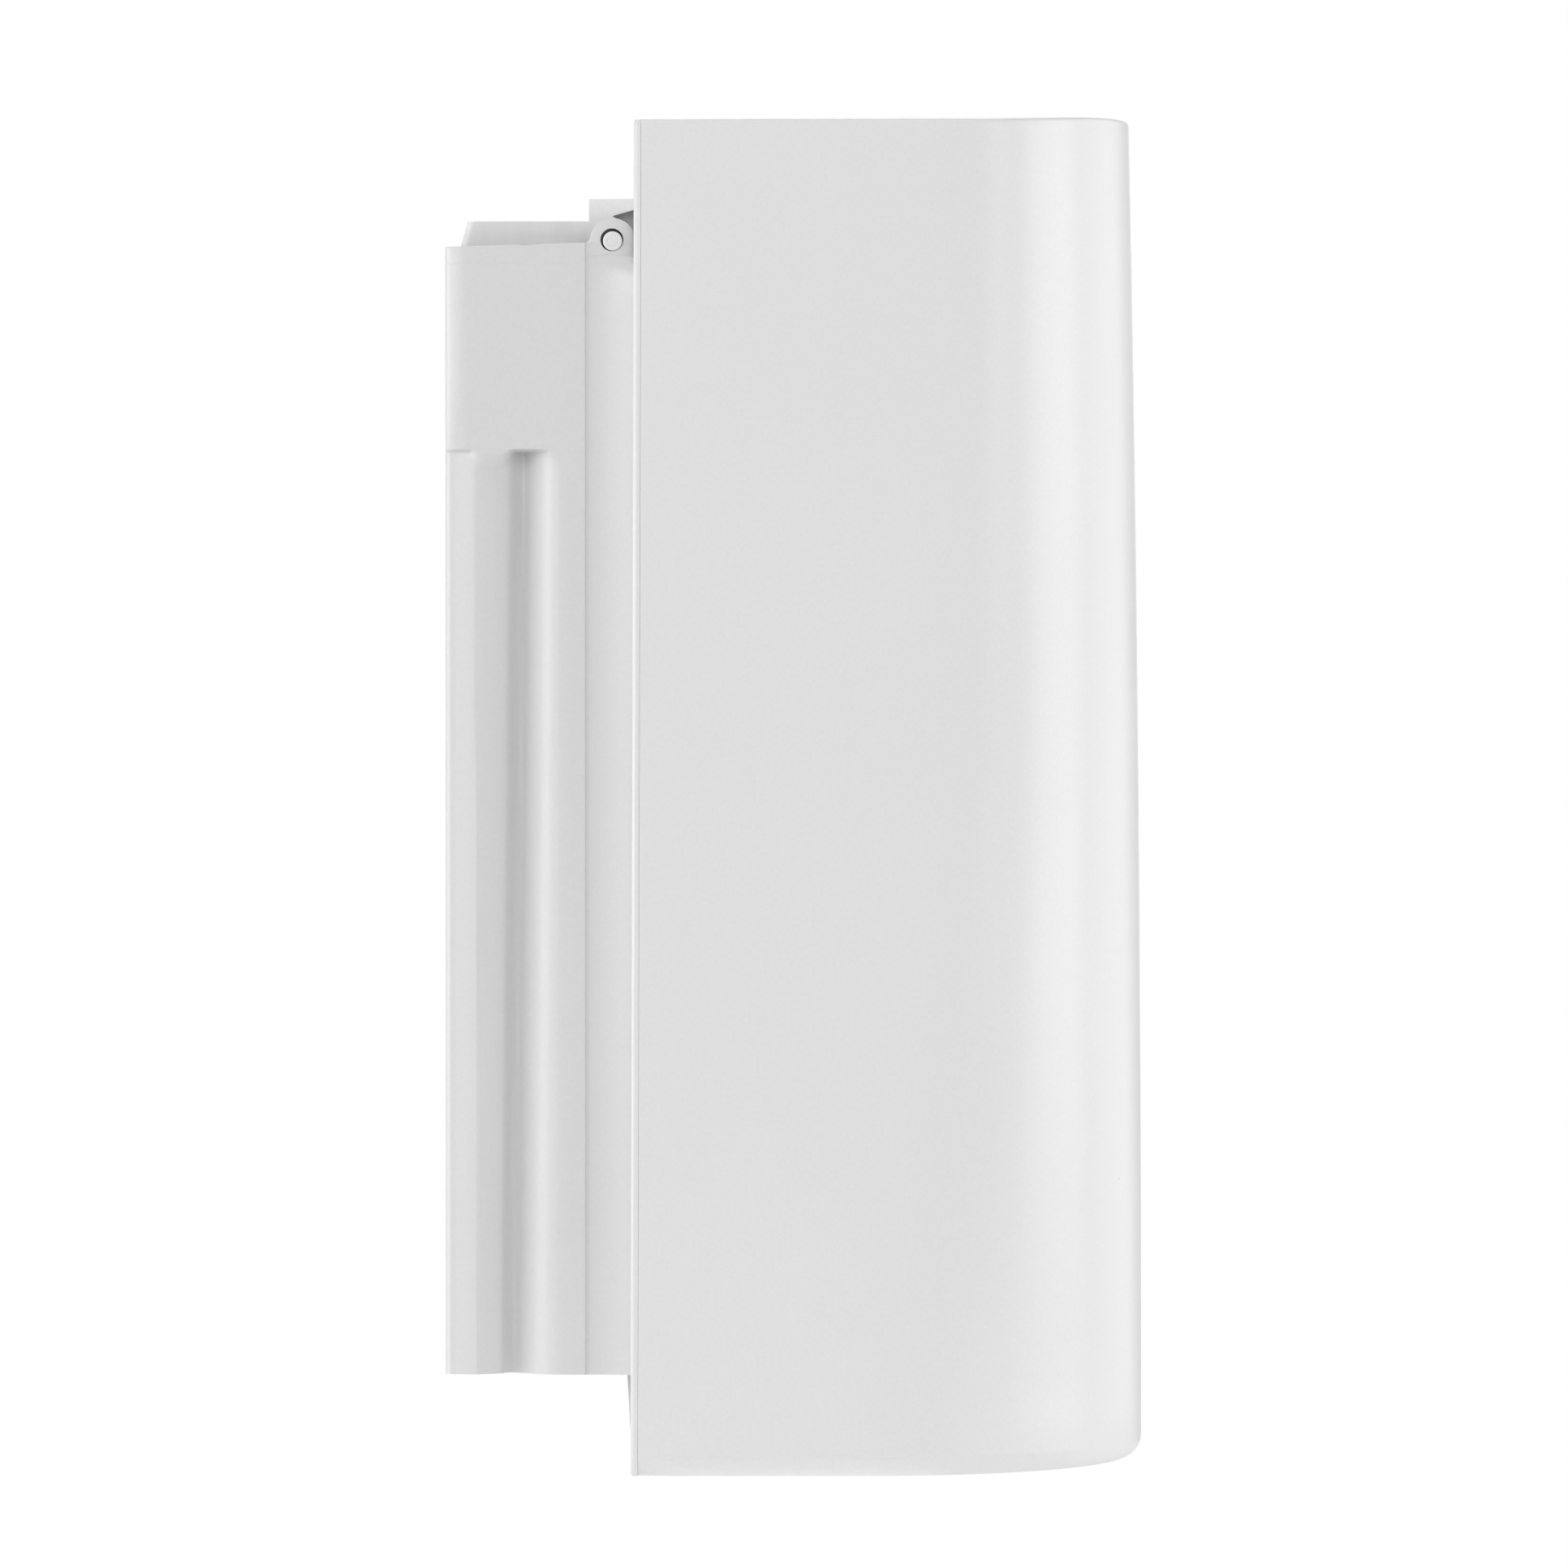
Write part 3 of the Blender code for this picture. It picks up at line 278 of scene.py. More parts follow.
def grained(name, roughness, tones, patches, grain, span, relief, wear=None, detail=3.0, **sockets):
    """Soft patches of two tones over a fine grain. Roughness follows the wear, or the grain without one.

    patches is a scale, grain and wear are a scale and a detail each, and relief is a strength and a depth.
    """
    look = Look(name, roughness, **sockets)
    look.vary(*tones, patches, detail=detail)
    skin = look.noise(*grain)
    look.rough(look.noise(*wear) if wear else skin, *span)
    return look.bump(skin, *relief).material


def key_plastic(name, *tones):
    coat = {"Coat_Weight": 0.1, "Coat_Roughness": 0.25}
    return grained(name, 0.36, tones, 60.0, (1300.0, 2.0), (0.30, 0.44), (0.25, 0.00005), **coat)


def zinc_plate():
    look = Look("zinc_plate", 0.34, 1.0)
    spangle = look.cells(260.0).outputs["Color"]
    drift = look.ramp(look.noise(30.0, 4.0), [(0.3, (0.60, 0.61, 0.62)), (0.7, (0.71, 0.71, 0.69))])
    look.colour(look.mix(0.10, drift, spangle, "OVERLAY"))
    drawn = look.noise(60.0, 4.0, 0.6, look.stretched((1.0, 1.0, 14.0)))
    look.rough(drawn, 0.26, 0.44)
    look.bump(drawn, 0.25, 0.00004)
    return look.material


def sintered_bronze():
    look = Look("sintered_bronze_finish", 0.42, 1.0)
    look.vary((0.55, 0.36, 0.17), (0.66, 0.46, 0.24), 120.0)
    pores = look.cells(2600.0).outputs["Distance"]
    look.rough(pores, 0.52, 0.34)
    look.bump(pores, 0.40, 0.00006)
    return look.material


def solder_mask():
    """Green laminate: copper tracks show through as lighter, slightly raised lines, with holes' rings."""
    look = Look("solder_mask", 0.32, 0.0, Coat_Weight=0.30, Coat_Roughness=0.12)
    line = [(0.90, 0.0), (0.94, 1.0)]
    across = look.ramp(look.waves(105.0, "Z"), line)
    upright = look.ramp(look.waves(105.0, "X"), line)
    turned = look.ramp(look.noise(34.0, 1.0), [(0.49, 0.0), (0.51, 1.0)])
    routed = look.ramp(look.noise(47.0, 0.0), [(0.42, 0.0), (0.44, 1.0)])
    tracks = look.mix(1.0, look.mix(turned, across, upright), routed, "MULTIPLY")
    rings = look.ramp(look.cells(170.0).outputs["Distance"], [(0.16, 1.0), (0.20, 0.0)])
    copper = look.mix(1.0, tracks, rings, "LIGHTEN")
    base = look.ramp(look.noise(55.0), [(0.3, (0.010, 0.085, 0.032)), (0.7, (0.014, 0.115, 0.044))])
    look.colour(look.mix(copper, base, (0.045, 0.250, 0.085)))
    look.bump(copper, 0.30, 0.00008)
    look.bump(look.noise(1500.0, 2.0), 0.10, 0.00005)
    return look.material


def soft_rubber():
    look = Look("grommet_rubber_finish", 0.72)
    bloom = look.ramp(look.noise(140.0, 4.0), [(0.35, (0.020, 0.020, 0.020)), (0.7, (0.055, 0.054, 0.052))])
    look.colour(bloom)
    look.bump(look.noise(1100.0, 3.0), 0.40, 0.00008)
    return look.material


def wound_copper():
    """Enamelled wire in close turns, under a thin varnish."""
    look = Look("enamelled_wire", 0.28, 0.7, Coat_Weight=0.5, Coat_Roughness=0.2)
    turns = look.waves(330.0, "Z", 0.4)
    tint = look.ramp(turns, [(0.05, (0.10, 0.025, 0.008)), (0.55, (0.48, 0.17, 0.055))])
    drift = look.ramp(look.noise(90.0), [(0.3, 0.75), (0.7, 1.0)])
    look.colour(look.mix(1.0, tint, drift, "MULTIPLY"))
    look.bump(turns, 0.80, 0.00025)
    return look.material


def frosted_lens():
    """A frosted diffuser: fine parallel prisms over a grained, slightly translucent plastic."""
    look = Look("frosted_diffuser", 0.30, 0.0, Transmission_Weight=0.25, IOR=1.49)
    prisms = look.waves(150.0, "X")
    look.colour(look.ramp(prisms, [(0.1, (0.78, 0.80, 0.80)), (0.8, (0.90, 0.91, 0.91))]))
    look.rough(look.noise(600.0), 0.24, 0.38)
    look.bump(prisms, 0.35, 0.00025)
    return look.material


def card_liner():
    """Pale grey insulating sheet, with a faint fibre along its length."""
    look = Look("liner_sheet", 0.55)
    fibre = look.noise(240.0, 4.0, 0.65, look.stretched((1.0, 1.0, 0.25)))
    look.colour(look.ramp(fibre, [(0.3, (0.745, 0.745, 0.742)), (0.7, (0.805, 0.805, 0.802))]))
    look.rough(fibre, 0.48, 0.62)
    look.bump(fibre, 0.25, 0.00006)
    return look.material


def bright_tin():
    """Solder, pins and contacts."""
    look = Look("bright_tin", 0.22, 1.0)
    look.vary((0.72, 0.72, 0.71), (0.82, 0.82, 0.81), 180.0)
    look.rough(look.noise(400.0, 3.0), 0.16, 0.34)
    return look.material


def studio_floor():
    look = Look("floor_paper", 0.85)
    look.vary((0.90, 0.90, 0.90), (0.93, 0.93, 0.93), 3.0)
    look.bump(look.noise(260.0, 3.0), 0.10, 0.0002)
    return look.material


LOOKS = {
    "hood_white": moulded_white("hood_moulding", 0.800, 0.812, 0.34, 0.00005),
    # The channel's white is the hood's plastic made darker: painted shade for the shadow the hood casts on it.
    "channel_white": moulded_white("channel_moulding", 0.712, 0.726, 0.40, 0.00006),
    "liner_grey": card_liner(),
    "zinc_steel": zinc_plate(),
    "bronze": sintered_bronze(),
    "motor_black": grained(
        "black_enamel",
        0.30,
        ((0.022, 0.022, 0.025), (0.045, 0.045, 0.050)),
        40.0,
        (520.0, 2.0),
        (0.26, 0.40),
        (0.30, 0.00010),
        wear=(80.0, 4.0),
        Coat_Weight=0.35,
        Coat_Roughness=0.15,
    ),
    "casting": grained(
        "die_cast_alloy",
        0.48,
        ((0.50, 0.51, 0.52), (0.62, 0.62, 0.61)),
        45.0,
        (700.0, 4.0, 0.65),
        (0.40, 0.60),
        (0.45, 0.00012),
        detail=5.0,
        metallic=0.9,
    ),
    "board_green": solder_mask(),
    "black_plastic": grained(
        "black_moulding",
        0.48,
        ((0.016, 0.016, 0.017), (0.032, 0.032, 0.034)),
        70.0,
        (1600.0, 2.0, 0.7),
        (0.42, 0.58),
        (0.35, 0.00006),
    ),
    "grommet_rubber": soft_rubber(),
    "copper": wound_copper(),
    "nylon": grained(
        "natural_nylon",
        0.38,
        ((0.78, 0.74, 0.63), (0.84, 0.81, 0.71)),
        38.0,
        (900.0, 3.0),
        (0.32, 0.46),
        (0.20, 0.00005),
        Subsurface_Weight=0.08,
        Subsurface_Scale=0.002,
    ),
    "frosted_lens": frosted_lens(),
    "lever_red": grained(
        "red_powder_coat",
        0.42,
        ((0.42, 0.018, 0.014), (0.56, 0.032, 0.022)),
        26.0,
        (620.0, 2.0),
        (0.34, 0.52),
        (0.45, 0.00012),
        wear=(45.0, 4.0),
    ),
    "button_yellow": key_plastic("yellow_key", (0.72, 0.50, 0.035), (0.80, 0.58, 0.055)),
    "button_grey": key_plastic("grey_key", (0.20, 0.205, 0.21), (0.26, 0.265, 0.27)),
}
ZINC = LOOKS["zinc_steel"]
TIN = bright_tin()


# ------------------------------------------------------------------ mesh tools


def new_object(name, bm):
    mesh = bpy.data.meshes.new(name)
    bm.to_mesh(mesh)
    bm.free()
    made = bpy.data.objects.new(name, mesh)
    bpy.context.scene.collection.objects.link(made)
    return made


def settle(thing):
    """Replaces an object's mesh by what its modifiers make of it."""
    bpy.context.view_layer.update()
    graph = bpy.context.evaluated_depsgraph_get()
    mesh = bpy.data.meshes.new_from_object(thing.evaluated_get(graph))
    mesh.name = thing.name
    thing.modifiers.clear()
    thing.data = mesh
    return thing


def combine(thing, others, operation):
    """Adds or cuts other objects, and removes them."""
    for other in others:
        change = thing.modifiers.new("change", "BOOLEAN")
        change.operation = operation
        change.solver = "EXACT"
        change.object = other
    settle(thing)
    for other in others:
        bpy.data.objects.remove(other)
    return thing


def cut(thing, *others):
    return combine(thing, others, "DIFFERENCE")


def join(thing, *others):
    return combine(thing, others, "UNION")


def bevel(thing, width, segments=2, degrees=30.0):
    rounding = thing.modifiers.new("rounding", "BEVEL")
    rounding.width = width
    rounding.segments = segments
    rounding.limit_method = "ANGLE"
    rounding.angle_limit = math.radians(degrees)
    return settle(thing)


def round_edges(thing, width, segments, chosen):
    """Rounds only the sharp edges whose middle a test chooses."""
    bm = bmesh.new()
    bm.from_mesh(thing.data)
    edges = []
    for edge in bm.edges:
        centre = (edge.verts[0].co + edge.verts[1].co) / 2
        if edge.is_manifold and edge.calc_face_angle() > 0.6 and chosen(centre):
            edges.append(edge)
    bmesh.ops.bevel(bm, geom=edges, offset=width, segments=segments, profile=0.5, affect="EDGES")
    bm.to_mesh(thing.data)
    bm.free()
    return thing


def thicken(thing, thickness):
    shell = thing.modifiers.new("wall", "SOLIDIFY")
    shell.thickness = thickness
    shell.offset = -1.0
    shell.use_even_offset = True
    shell.use_quality_normals = True
    return settle(thing)


def finish_piece(thing, node, look=None, stands=True, degrees=32.0):
    """Gives a piece the finish and body of a CAD node, which it stands for if it has no look of its own."""
    thing.data.materials.clear()
    thing.data.materials.append(look or LOOKS[SLOT[node]])
    thing.data.shade_smooth()
    thing.data.set_sharp_from_angle(angle=math.radians(degrees))
    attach(thing, BODY[node])
    if look is None:
        if stands:
            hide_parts(node)
    return thing


def block(name, lo, hi, rounding=0.0, segments=2):
    """A box between two corners, with rounded edges."""
    bm = bmesh.new()
    bmesh.ops.create_cube(bm, size=1.0)
    lo, hi = Vector(lo), Vector(hi)
    bmesh.ops.scale(bm, vec=hi - lo, verts=bm.verts)
    bmesh.ops.translate(bm, vec=(lo + hi) / 2, verts=bm.verts)
    made = new_object(name, bm)
    return bevel(made, rounding, segments) if rounding else made


def put_rod(bm, radius, ends, centre, axis, segments=24):
    """Adds a cylinder to bm. centre gives the two coordinates off the axis, in X, Y, Z order."""
    place = list(centre)
    place.insert("XYZ".index(axis), (ends[0] + ends[1]) / 2)
    bmesh.ops.create_cone(
        bm,
        cap_ends=True,
        segments=segments,
        radius1=radius,
        radius2=radius,
        depth=abs(ends[1] - ends[0]),
        matrix=Matrix.Translation(place) @ AXIS_TURN[axis],
    )


def rods(name, radius, ends, centres, axis, segments=24):
    bm = bmesh.new()
    for centre in centres:
        put_rod(bm, radius, ends, centre, axis, segments)
    return new_object(name, bm)


def blocks(name, places, size):
    """Equal boxes at several places, in one object."""
    bm = bmesh.new()
    for place in places:
        bmesh.ops.create_cube(bm, size=1.0, matrix=Matrix.Translation(place) @ Matrix.Diagonal((*size, 1.0)))
    return new_object(name, bm)


def lathe(name, profile, centre, axis="X", steps=48):
    """A solid of revolution. profile is (radius, place along the axis) pairs; radius 0 closes an end.

    centre gives the two coordinates off the axis, in X, Y, Z order.
    """
    if profile[0][0] > 0.0 and profile[-1][0] > 0.0:
        profile = profile + profile[:1]
    spare = [k for k in range(3) if k != "XYZ".index(axis)]
    bm = bmesh.new()
    rings = []
    for radius, along in profile[:-1] if profile[0] == profile[-1] else profile:
        ring = []
        for k in range(steps if radius > 0.0 else 1):
            turn = 2 * math.pi * k / steps
            place = [0.0, 0.0, 0.0]
            place["XYZ".index(axis)] = along
            place[spare[0]] = centre[0] + radius * math.cos(turn)
            place[spare[1]] = centre[1] + radius * math.sin(turn)
            ring.append(bm.verts.new(place))
        rings.append(ring)
    pairs = list(zip(rings, rings[1:]))
    if profile[0] == profile[-1]:
        pairs.append((rings[-1], rings[0]))
    for near, far in pairs:
        for k in range(steps):
            a, b = near[k % len(near)], near[(k + 1) % len(near)]
            c, d = far[(k + 1) % len(far)], far[k % len(far)]
            corners = [v for i, v in enumerate((a, b, c, d)) if v not in (a, b, c, d)[:i]]
            if len(corners) > 2:
                bm.faces.new(corners)
    bmesh.ops.recalc_face_normals(bm, faces=bm.faces)
    return new_object(name, bm)


def circle(centre, radius, segments=24, start=0.0, sweep=2 * math.pi):
    """Points round a circle, or along an arc of it when sweep is less than a full turn."""
    steps = segments if abs(sweep) > 6.28 else segments - 1
    angles = [start + sweep * k / steps for k in range(segments)]
    return [(centre[0] + radius * math.cos(a), centre[1] + radius * math.sin(a)) for a in angles]


def rounded_rectangle(u, v, radius, segments=6):
    corners = [
        ((u[1] - radius, v[1] - radius), 0.0),
        ((u[0] + radius, v[1] - radius), math.pi / 2),
        ((u[0] + radius, v[0] + radius), math.pi),
        ((u[1] - radius, v[0] + radius), 1.5 * math.pi),
    ]
    points = []
    for centre, start in corners:
        points += circle(centre, radius, segments, start, math.pi / 2)
    return points


def plate(name, outlines, plane, ends, rounding=0.0, segments=2):
    """A flat plate from a closed outline and any holes in it, between two places along the plane's normal."""
    curve = bpy.data.curves.new(name, "CURVE")
    curve.dimensions = "2D"
    curve.fill_mode = "BOTH"
    curve.extrude = abs(ends[1] - ends[0]) / 2
    for outline in outlines:
        spline = curve.splines.new("POLY")
        spline.points.add(len(outline) - 1)
        for point, (u, v) in zip(spline.points, outline):
            point.co = (u, v, 0.0, 1.0)
        spline.use_cyclic_u = True
    source = bpy.data.objects.new(name + "_outline", curve)
    bpy.context.scene.collection.objects.link(source)
    normal = Vector([abs(value) for value in plane.to_3x3() @ Vector((0.0, 0.0, 1.0))])
    source.matrix_world = Matrix.Translation(normal * (ends[0] + ends[1]) / 2) @ plane
    bpy.context.view_layer.update()
    mesh = bpy.data.meshes.new_from_object(source.evaluated_get(bpy.context.evaluated_depsgraph_get()))
    mesh.transform(source.matrix_world)
    bpy.data.objects.remove(source)
    bm = bmesh.new()
    bm.from_mesh(mesh)
    bpy.data.meshes.remove(mesh)
    bmesh.ops.remove_doubles(bm, verts=bm.verts, dist=0.000001)
    bmesh.ops.recalc_face_normals(bm, faces=bm.faces)
    made = new_object(name, bm)
    return bevel(made, rounding, segments) if rounding else made


def loft(bm, rings):
    """Quads between open rings of points, all with the same number of points."""
    rows = [[bm.verts.new(point) for point in ring] for ring in rings]
    for low, high in zip(rows, rows[1:]):
        for k in range(len(low) - 1):
            bm.faces.new((low[k], low[k + 1], high[k + 1], high[k]))
    return rows


def tube(name, points, radius, sides=10):
    """A closed round tube along points, with frames carried along so that it doesn't twist."""
    points = [Vector(point) for point in points]
    bm = bmesh.new()
    rings = []
    across = None
    for k, point in enumerate(points):
        ahead = points[min(k + 1, len(points) - 1)]
        behind = points[max(k - 1, 0)]
        along = (ahead - behind).normalized()
        if across is None:
            across = along.orthogonal().normalized()
        across = (across - along * across.dot(along)).normalized()
        other = along.cross(across)
        turns = [2 * math.pi * j / sides for j in range(sides)]
        ring = [bm.verts.new(point + radius * (math.cos(t) * across + math.sin(t) * other)) for t in turns]
        rings.append(ring)
    for near, far in zip(rings, rings[1:]):
        for j in range(sides):
            bm.faces.new((near[j], near[(j + 1) % sides], far[(j + 1) % sides], far[j]))
    bm.faces.new(rings[0])
    bm.faces.new(rings[-1])
    bmesh.ops.recalc_face_normals(bm, faces=bm.faces)
    return new_object(name, bm)


def smooth_route(route, steps):
    """Points on a Catmull-Rom curve through the route's own points."""
    knots = [Vector(place) for place in route]
    padded = [2 * knots[0] - knots[1], *knots, 2 * knots[-1] - knots[-2]]
    points = []
    for a, b, c, d in zip(padded, padded[1:], padded[2:], padded[3:]):
        for k in range(steps):
            t = k / steps
            slope = (c - a) + (2 * a - 5 * b + 4 * c - d) * t + (3 * b - a - 3 * c + d) * t * t
            points.append(b + 0.5 * t * slope)
    return points + [knots[-1]]


def along(knots, at):
    """Value at a place on straight stretches between (place, value) knots, in falling order of place."""
    for (p0, v0), (p1, v1) in zip(knots, knots[1:]):
        if p1 <= at <= p0:
            return v0 + (v1 - v0) * (p0 - at) / (p0 - p1)
    return knots[0][1] if at > knots[0][0] else knots[-1][1]


def ease(low, high, value):
    """0 up to low, 1 from high on, and smooth between."""
    t = min(1.0, max(0.0, (value - low) / (high - low)))
    return t * t * (3 - 2 * t)


# ------------------------------------------------------------------------ hood


def hood_share(z):
    """0 at the hood's top and 1 at its bottom."""
    return min(1.0, max(0.0, (HOOD_TOP - z) / HOOD_HEIGHT))


def hood_side_end(z):
    """Where the flat side gives way to the curved front."""
    u = hood_share(z)
    return HOOD_SIDE_END + 0.0025 * u + 0.031 * u**4 - 0.006 * max(0.0, u - 0.95) / 0.05


def hood_front(z):
    return HOOD_FRONT_TOP - HOOD_FRONT_BELLY * (1.0 - (1.0 - hood_share(z)) ** 2.2)


def rear_lean(z):
    """The hood's rear edge leans forward by HOOD_LEAN from its bottom to its top."""
    return HOOD_LEAN * (1.0 - hood_share(z))


def hood_crease(z):
    """The turn of the surface where the flat side ends: crisp at the top, faint at the bottom."""
    return CREASE_TOP + (CREASE_BOTTOM - CREASE_TOP) * hood_share(z)


def hood_crown(x, y):
    """Height of the top's crown above its side edges."""
    back = max(0.0, (y - HOOD_REAR) / (CROWN_PEAK_Y - HOOD_REAR))
    fore = (y - CROWN_PEAK_Y) / (HOOD_FRONT_TOP - CROWN_PEAK_Y)
    height = CROWN_REAR + (CROWN_PEAK - CROWN_REAR) * math.sin(back * math.pi / 2)
    if y < CROWN_PEAK_Y:
        height = CROWN_PEAK - (CROWN_PEAK - CROWN_REAR) * fore**2
    return height * (1.0 - (x / HOOD_HALF_W) ** 2)


def hood_outline(z, inset, side_steps=8, front_steps=30):
    """Plan outline at a height, from the rear of the +X side round the front to the -X side."""
    half_w = HOOD_HALF_W - inset
    side_end = hood_side_end(z)
    front = hood_front(z) + inset
    rear = HOOD_REAR + rear_lean(z)
    edge = 0.0002
    half = [(half_w - edge, rear), (half_w - edge / 3, rear - edge / 3), (half_w, rear - edge)]
    half += [(half_w, rear + (side_end - rear) * k / side_steps) for k in range(1, side_steps)]
    reach = 0.56 * (side_end - front)
    crease = hood_crease(z)
    half.append((half_w, side_end))
    band = CREASE_BAND * (1.0 - 0.85 * hood_share(z))
    start = Vector((half_w, side_end)) + band * Vector((-math.sin(crease), -math.cos(crease)))
    crease += SECOND_CREASE * (1.0 - hood_share(z))
    leave = start + reach * Vector((-math.sin(crease), -math.cos(crease)))
    end = Vector((0.0, front))
    arrive = end + Vector((0.56 * half_w, 0.0))
    for k in range(front_steps + 1):
        t = k / front_steps
        s = 1.0 - t
        point = s**3 * start + 3 * s * s * t * leave + 3 * s * t * t * arrive + t**3 * end
        half.append((point.x, point.y))
    return half + [(-x, y) for x, y in reversed(half[:-1])]


def hood_rings(levels=34, fillet_steps=6):
    """Sections from the edge of the underside to that of the top.

    The bottom edge is sloped at the sides and round in front.
    """
    rings = []
    for k, (inset, rise) in enumerate(HOOD_BOTTOM_EDGE):
        turn = math.pi / 2 * k / (len(HOOD_BOTTOM_EDGE) - 1)
        z = HOOD_BOTTOM + HOOD_BOTTOM_FILLET * (1.0 - math.cos(turn))
        rounded = [Vector((x, y, z)) for x, y in hood_outline(z, HOOD_BOTTOM_FILLET * (1.0 - math.sin(turn)))]
        z = HOOD_BOTTOM + rise
        sloped = [Vector((x, y, z)) for x, y in hood_outline(z, inset)]
        rings.append([a.lerp(b, ease(0.165, 0.195, -b.y)) for a, b in zip(sloped, rounded)])
    low, high = HOOD_BOTTOM + HOOD_BOTTOM_FILLET, HOOD_TOP - 0.004
    for k in range(1, levels + 1):
        z = low + (high - low) * k / levels
        rings.append([(x, y, z) for x, y in hood_outline(z, 0.0)])
    for k in range(fillet_steps + 1):
        turn = math.pi / 2 * k / fillet_steps
        inset = HOOD_TOP_FILLET * (1.0 - math.cos(turn))
        drop = HOOD_TOP_FILLET * (1.0 - math.sin(turn))
        outline = hood_outline(HOOD_TOP, inset)
        rings.append([(x, y, HOOD_TOP + hood_crown(x, y) - drop) for x, y in outline])
    return rings


def cap(bm, ring, height, across=14):
    """Closes a ring with strips across X. Inner points take their height from a function of x and y."""
    last = len(ring) - 1
    rows = []
    for k in range(last // 2 + 1):
        right, left = ring[k], ring[last - k]
        if right is left:
            rows.append([right] * (across + 1))
            continue
        row = [right]
        for j in range(1, across):
            x = right.co.x + (left.co.x - right.co.x) * j / across
            row.append(bm.verts.new((x, right.co.y, height(x, right.co.y))))
        rows.append(row + [left])
    for near, far in zip(rows, rows[1:]):
        for j in range(across):
            corners = [near[j], near[j + 1], far[j + 1], far[j]]
            bm.faces.new([v for i, v in enumerate(corners) if v not in corners[:i]])


def soften_rear(bm):
    """Drops the rear row of the top, and lifts that of the underside, to round the hood's rear edge."""
    for vertex in bm.verts:
        flat = abs(vertex.co.x) < HOOD_HALF_W - 0.002
        if flat and vertex.co.y > HOOD_REAR + HOOD_LEAN - 0.0002:
            vertex.co.z += -0.0002 if vertex.co.z > 0.0 else 0.0002


def notch_cutter(low, high):
    """A cutter for the shaft's notch, between two (x, y) corners."""
    bottom, top = OUTPUT_Z - SHAFT_NOTCH, OUTPUT_Z + SHAFT_NOTCH
    return block("notch", (*low, bottom), (*high, top), 0.003, 4)


def hood_openings():
    """Cutters for the shaft's notch, the lamp, the vents and the lock."""
    vents = []
    for k in range(6):
        x = -0.050 + 0.020 * k
        slot = rounded_rectangle((x - 0.0025, x + 0.0025), (-0.081, -0.065), 0.0024)
        vents.append(plate("vent", [slot], XY_PLANE, (HOOD_BOTTOM - 0.004, HOOD_BOTTOM + 0.006)))
    notch = notch_cutter((0.080, OUTPUT_Y - SHAFT_NOTCH), (0.095, -0.050))
    outline = rounded_rectangle((-0.045, 0.045), (-0.140, -0.090), 0.003)
    lens = plate("lens_hole", [outline], XY_PLANE, (-0.199, -0.190))
    lock = rods("lock_hole", 0.0034, (0.085, 0.095), [(LOCK_Y, LOCK_Z)], "X", 32)
    return [notch, lens, lock, *vents]


def make_hood():
    bm = bmesh.new()
    rows = loft(bm, hood_rings())
    cap(bm, rows[0], lambda x, y: HOOD_BOTTOM)
    cap(bm, rows[-1], lambda x, y: HOOD_TOP + hood_crown(x, y))
    soften_rear(bm)
    bmesh.ops.recalc_face_normals(bm, faces=bm.faces)
    top = max(bm.faces, key=lambda face: face.calc_center_median().z)
    if top.normal.z < 0.0:
        bmesh.ops.reverse_faces(bm, faces=bm.faces)
    skin = thicken(new_object("hood_skin", bm), HOOD_WALL)
    cut(skin, *hood_openings())
    finish_piece(skin, "hood_shell", degrees=24.0)
    make_hood_ribs()


def make_hood_ribs():
    """Stiffening ribs moulded inside the hood's front, out of sight when it is closed."""
    ribs = []
    for z in (0.130, 0.050, -0.040, -0.120):
        outer, inner = (hood_outline(z, HOOD_WALL + depth, 4, 14) for depth in (-0.0003, 0.0040))
        outline = [point for point in outer + inner[::-1] if point[1] < hood_side_end(z) + 0.004]
        ribs.append(plate("rib", [outline], XY_PLANE, (z - 0.0009, z + 0.0009), 0.0003))
    finish_piece(join(*ribs), "hood_shell", stands=False).name = "hood_front_ribs"


def frame_outline():
    """The hood's rear outline, with its crowned top."""
    points = [(HOOD_HALF_W - inset, HOOD_BOTTOM + rise) for inset, rise in HOOD_BOTTOM_EDGE]
    points.append((HOOD_HALF_W, HOOD_TOP - HOOD_TOP_FILLET))
    for k in range(25):
        x = (HOOD_HALF_W - HOOD_TOP_FILLET) * (1.0 - k / 12.0)
        points.append((x, HOOD_TOP + hood_crown(x, HOOD_REAR)))
    points.append((-HOOD_HALF_W, HOOD_TOP - HOOD_TOP_FILLET))
    points += [(-HOOD_HALF_W + inset, HOOD_BOTTOM + rise) for inset, rise in reversed(HOOD_BOTTOM_EDGE)]
    return points


def knuckle(side):
    """A hook that holds a hinge pin: a boss round the pin, a web behind it and a flange to the frame."""
    shape = [(-0.0070, 0.0128), (0.0072, 0.0128), (0.0072, 0.0025)]
    shape += circle((0.0, 0.0), 0.0066, 21, math.radians(15.0), -math.radians(215.0))
    shape += [(-0.0024, 0.0060), (0.0002, 0.0078), (-0.0070, 0.0098)]
    outline = [(HINGE_Y + y, HINGE_Z + z) for y, z in shape]
    ends = sorted((side * 0.042, side * 0.072))
    made = plate("knuckle", [outline], YZ_PLANE, ends, 0.0003)
    for vertex in made.data.vertices:
        if abs(vertex.co.x) > 0.070:
            vertex.co.x -= side * 0.30 * (vertex.co.y - FRAME_REAR)
    shape = ((-0.0070, 0.0), (0.0006, 0.0070), (-0.0006, 0.0090), (-0.0070, 0.0106))
    pocket = [(HINGE_Y + y, HINGE_Z + z) for y, z in shape]
    join(made, plate("pocket_floor", [pocket], YZ_PLANE, sorted((side * 0.064, side * 0.066))))
    return made


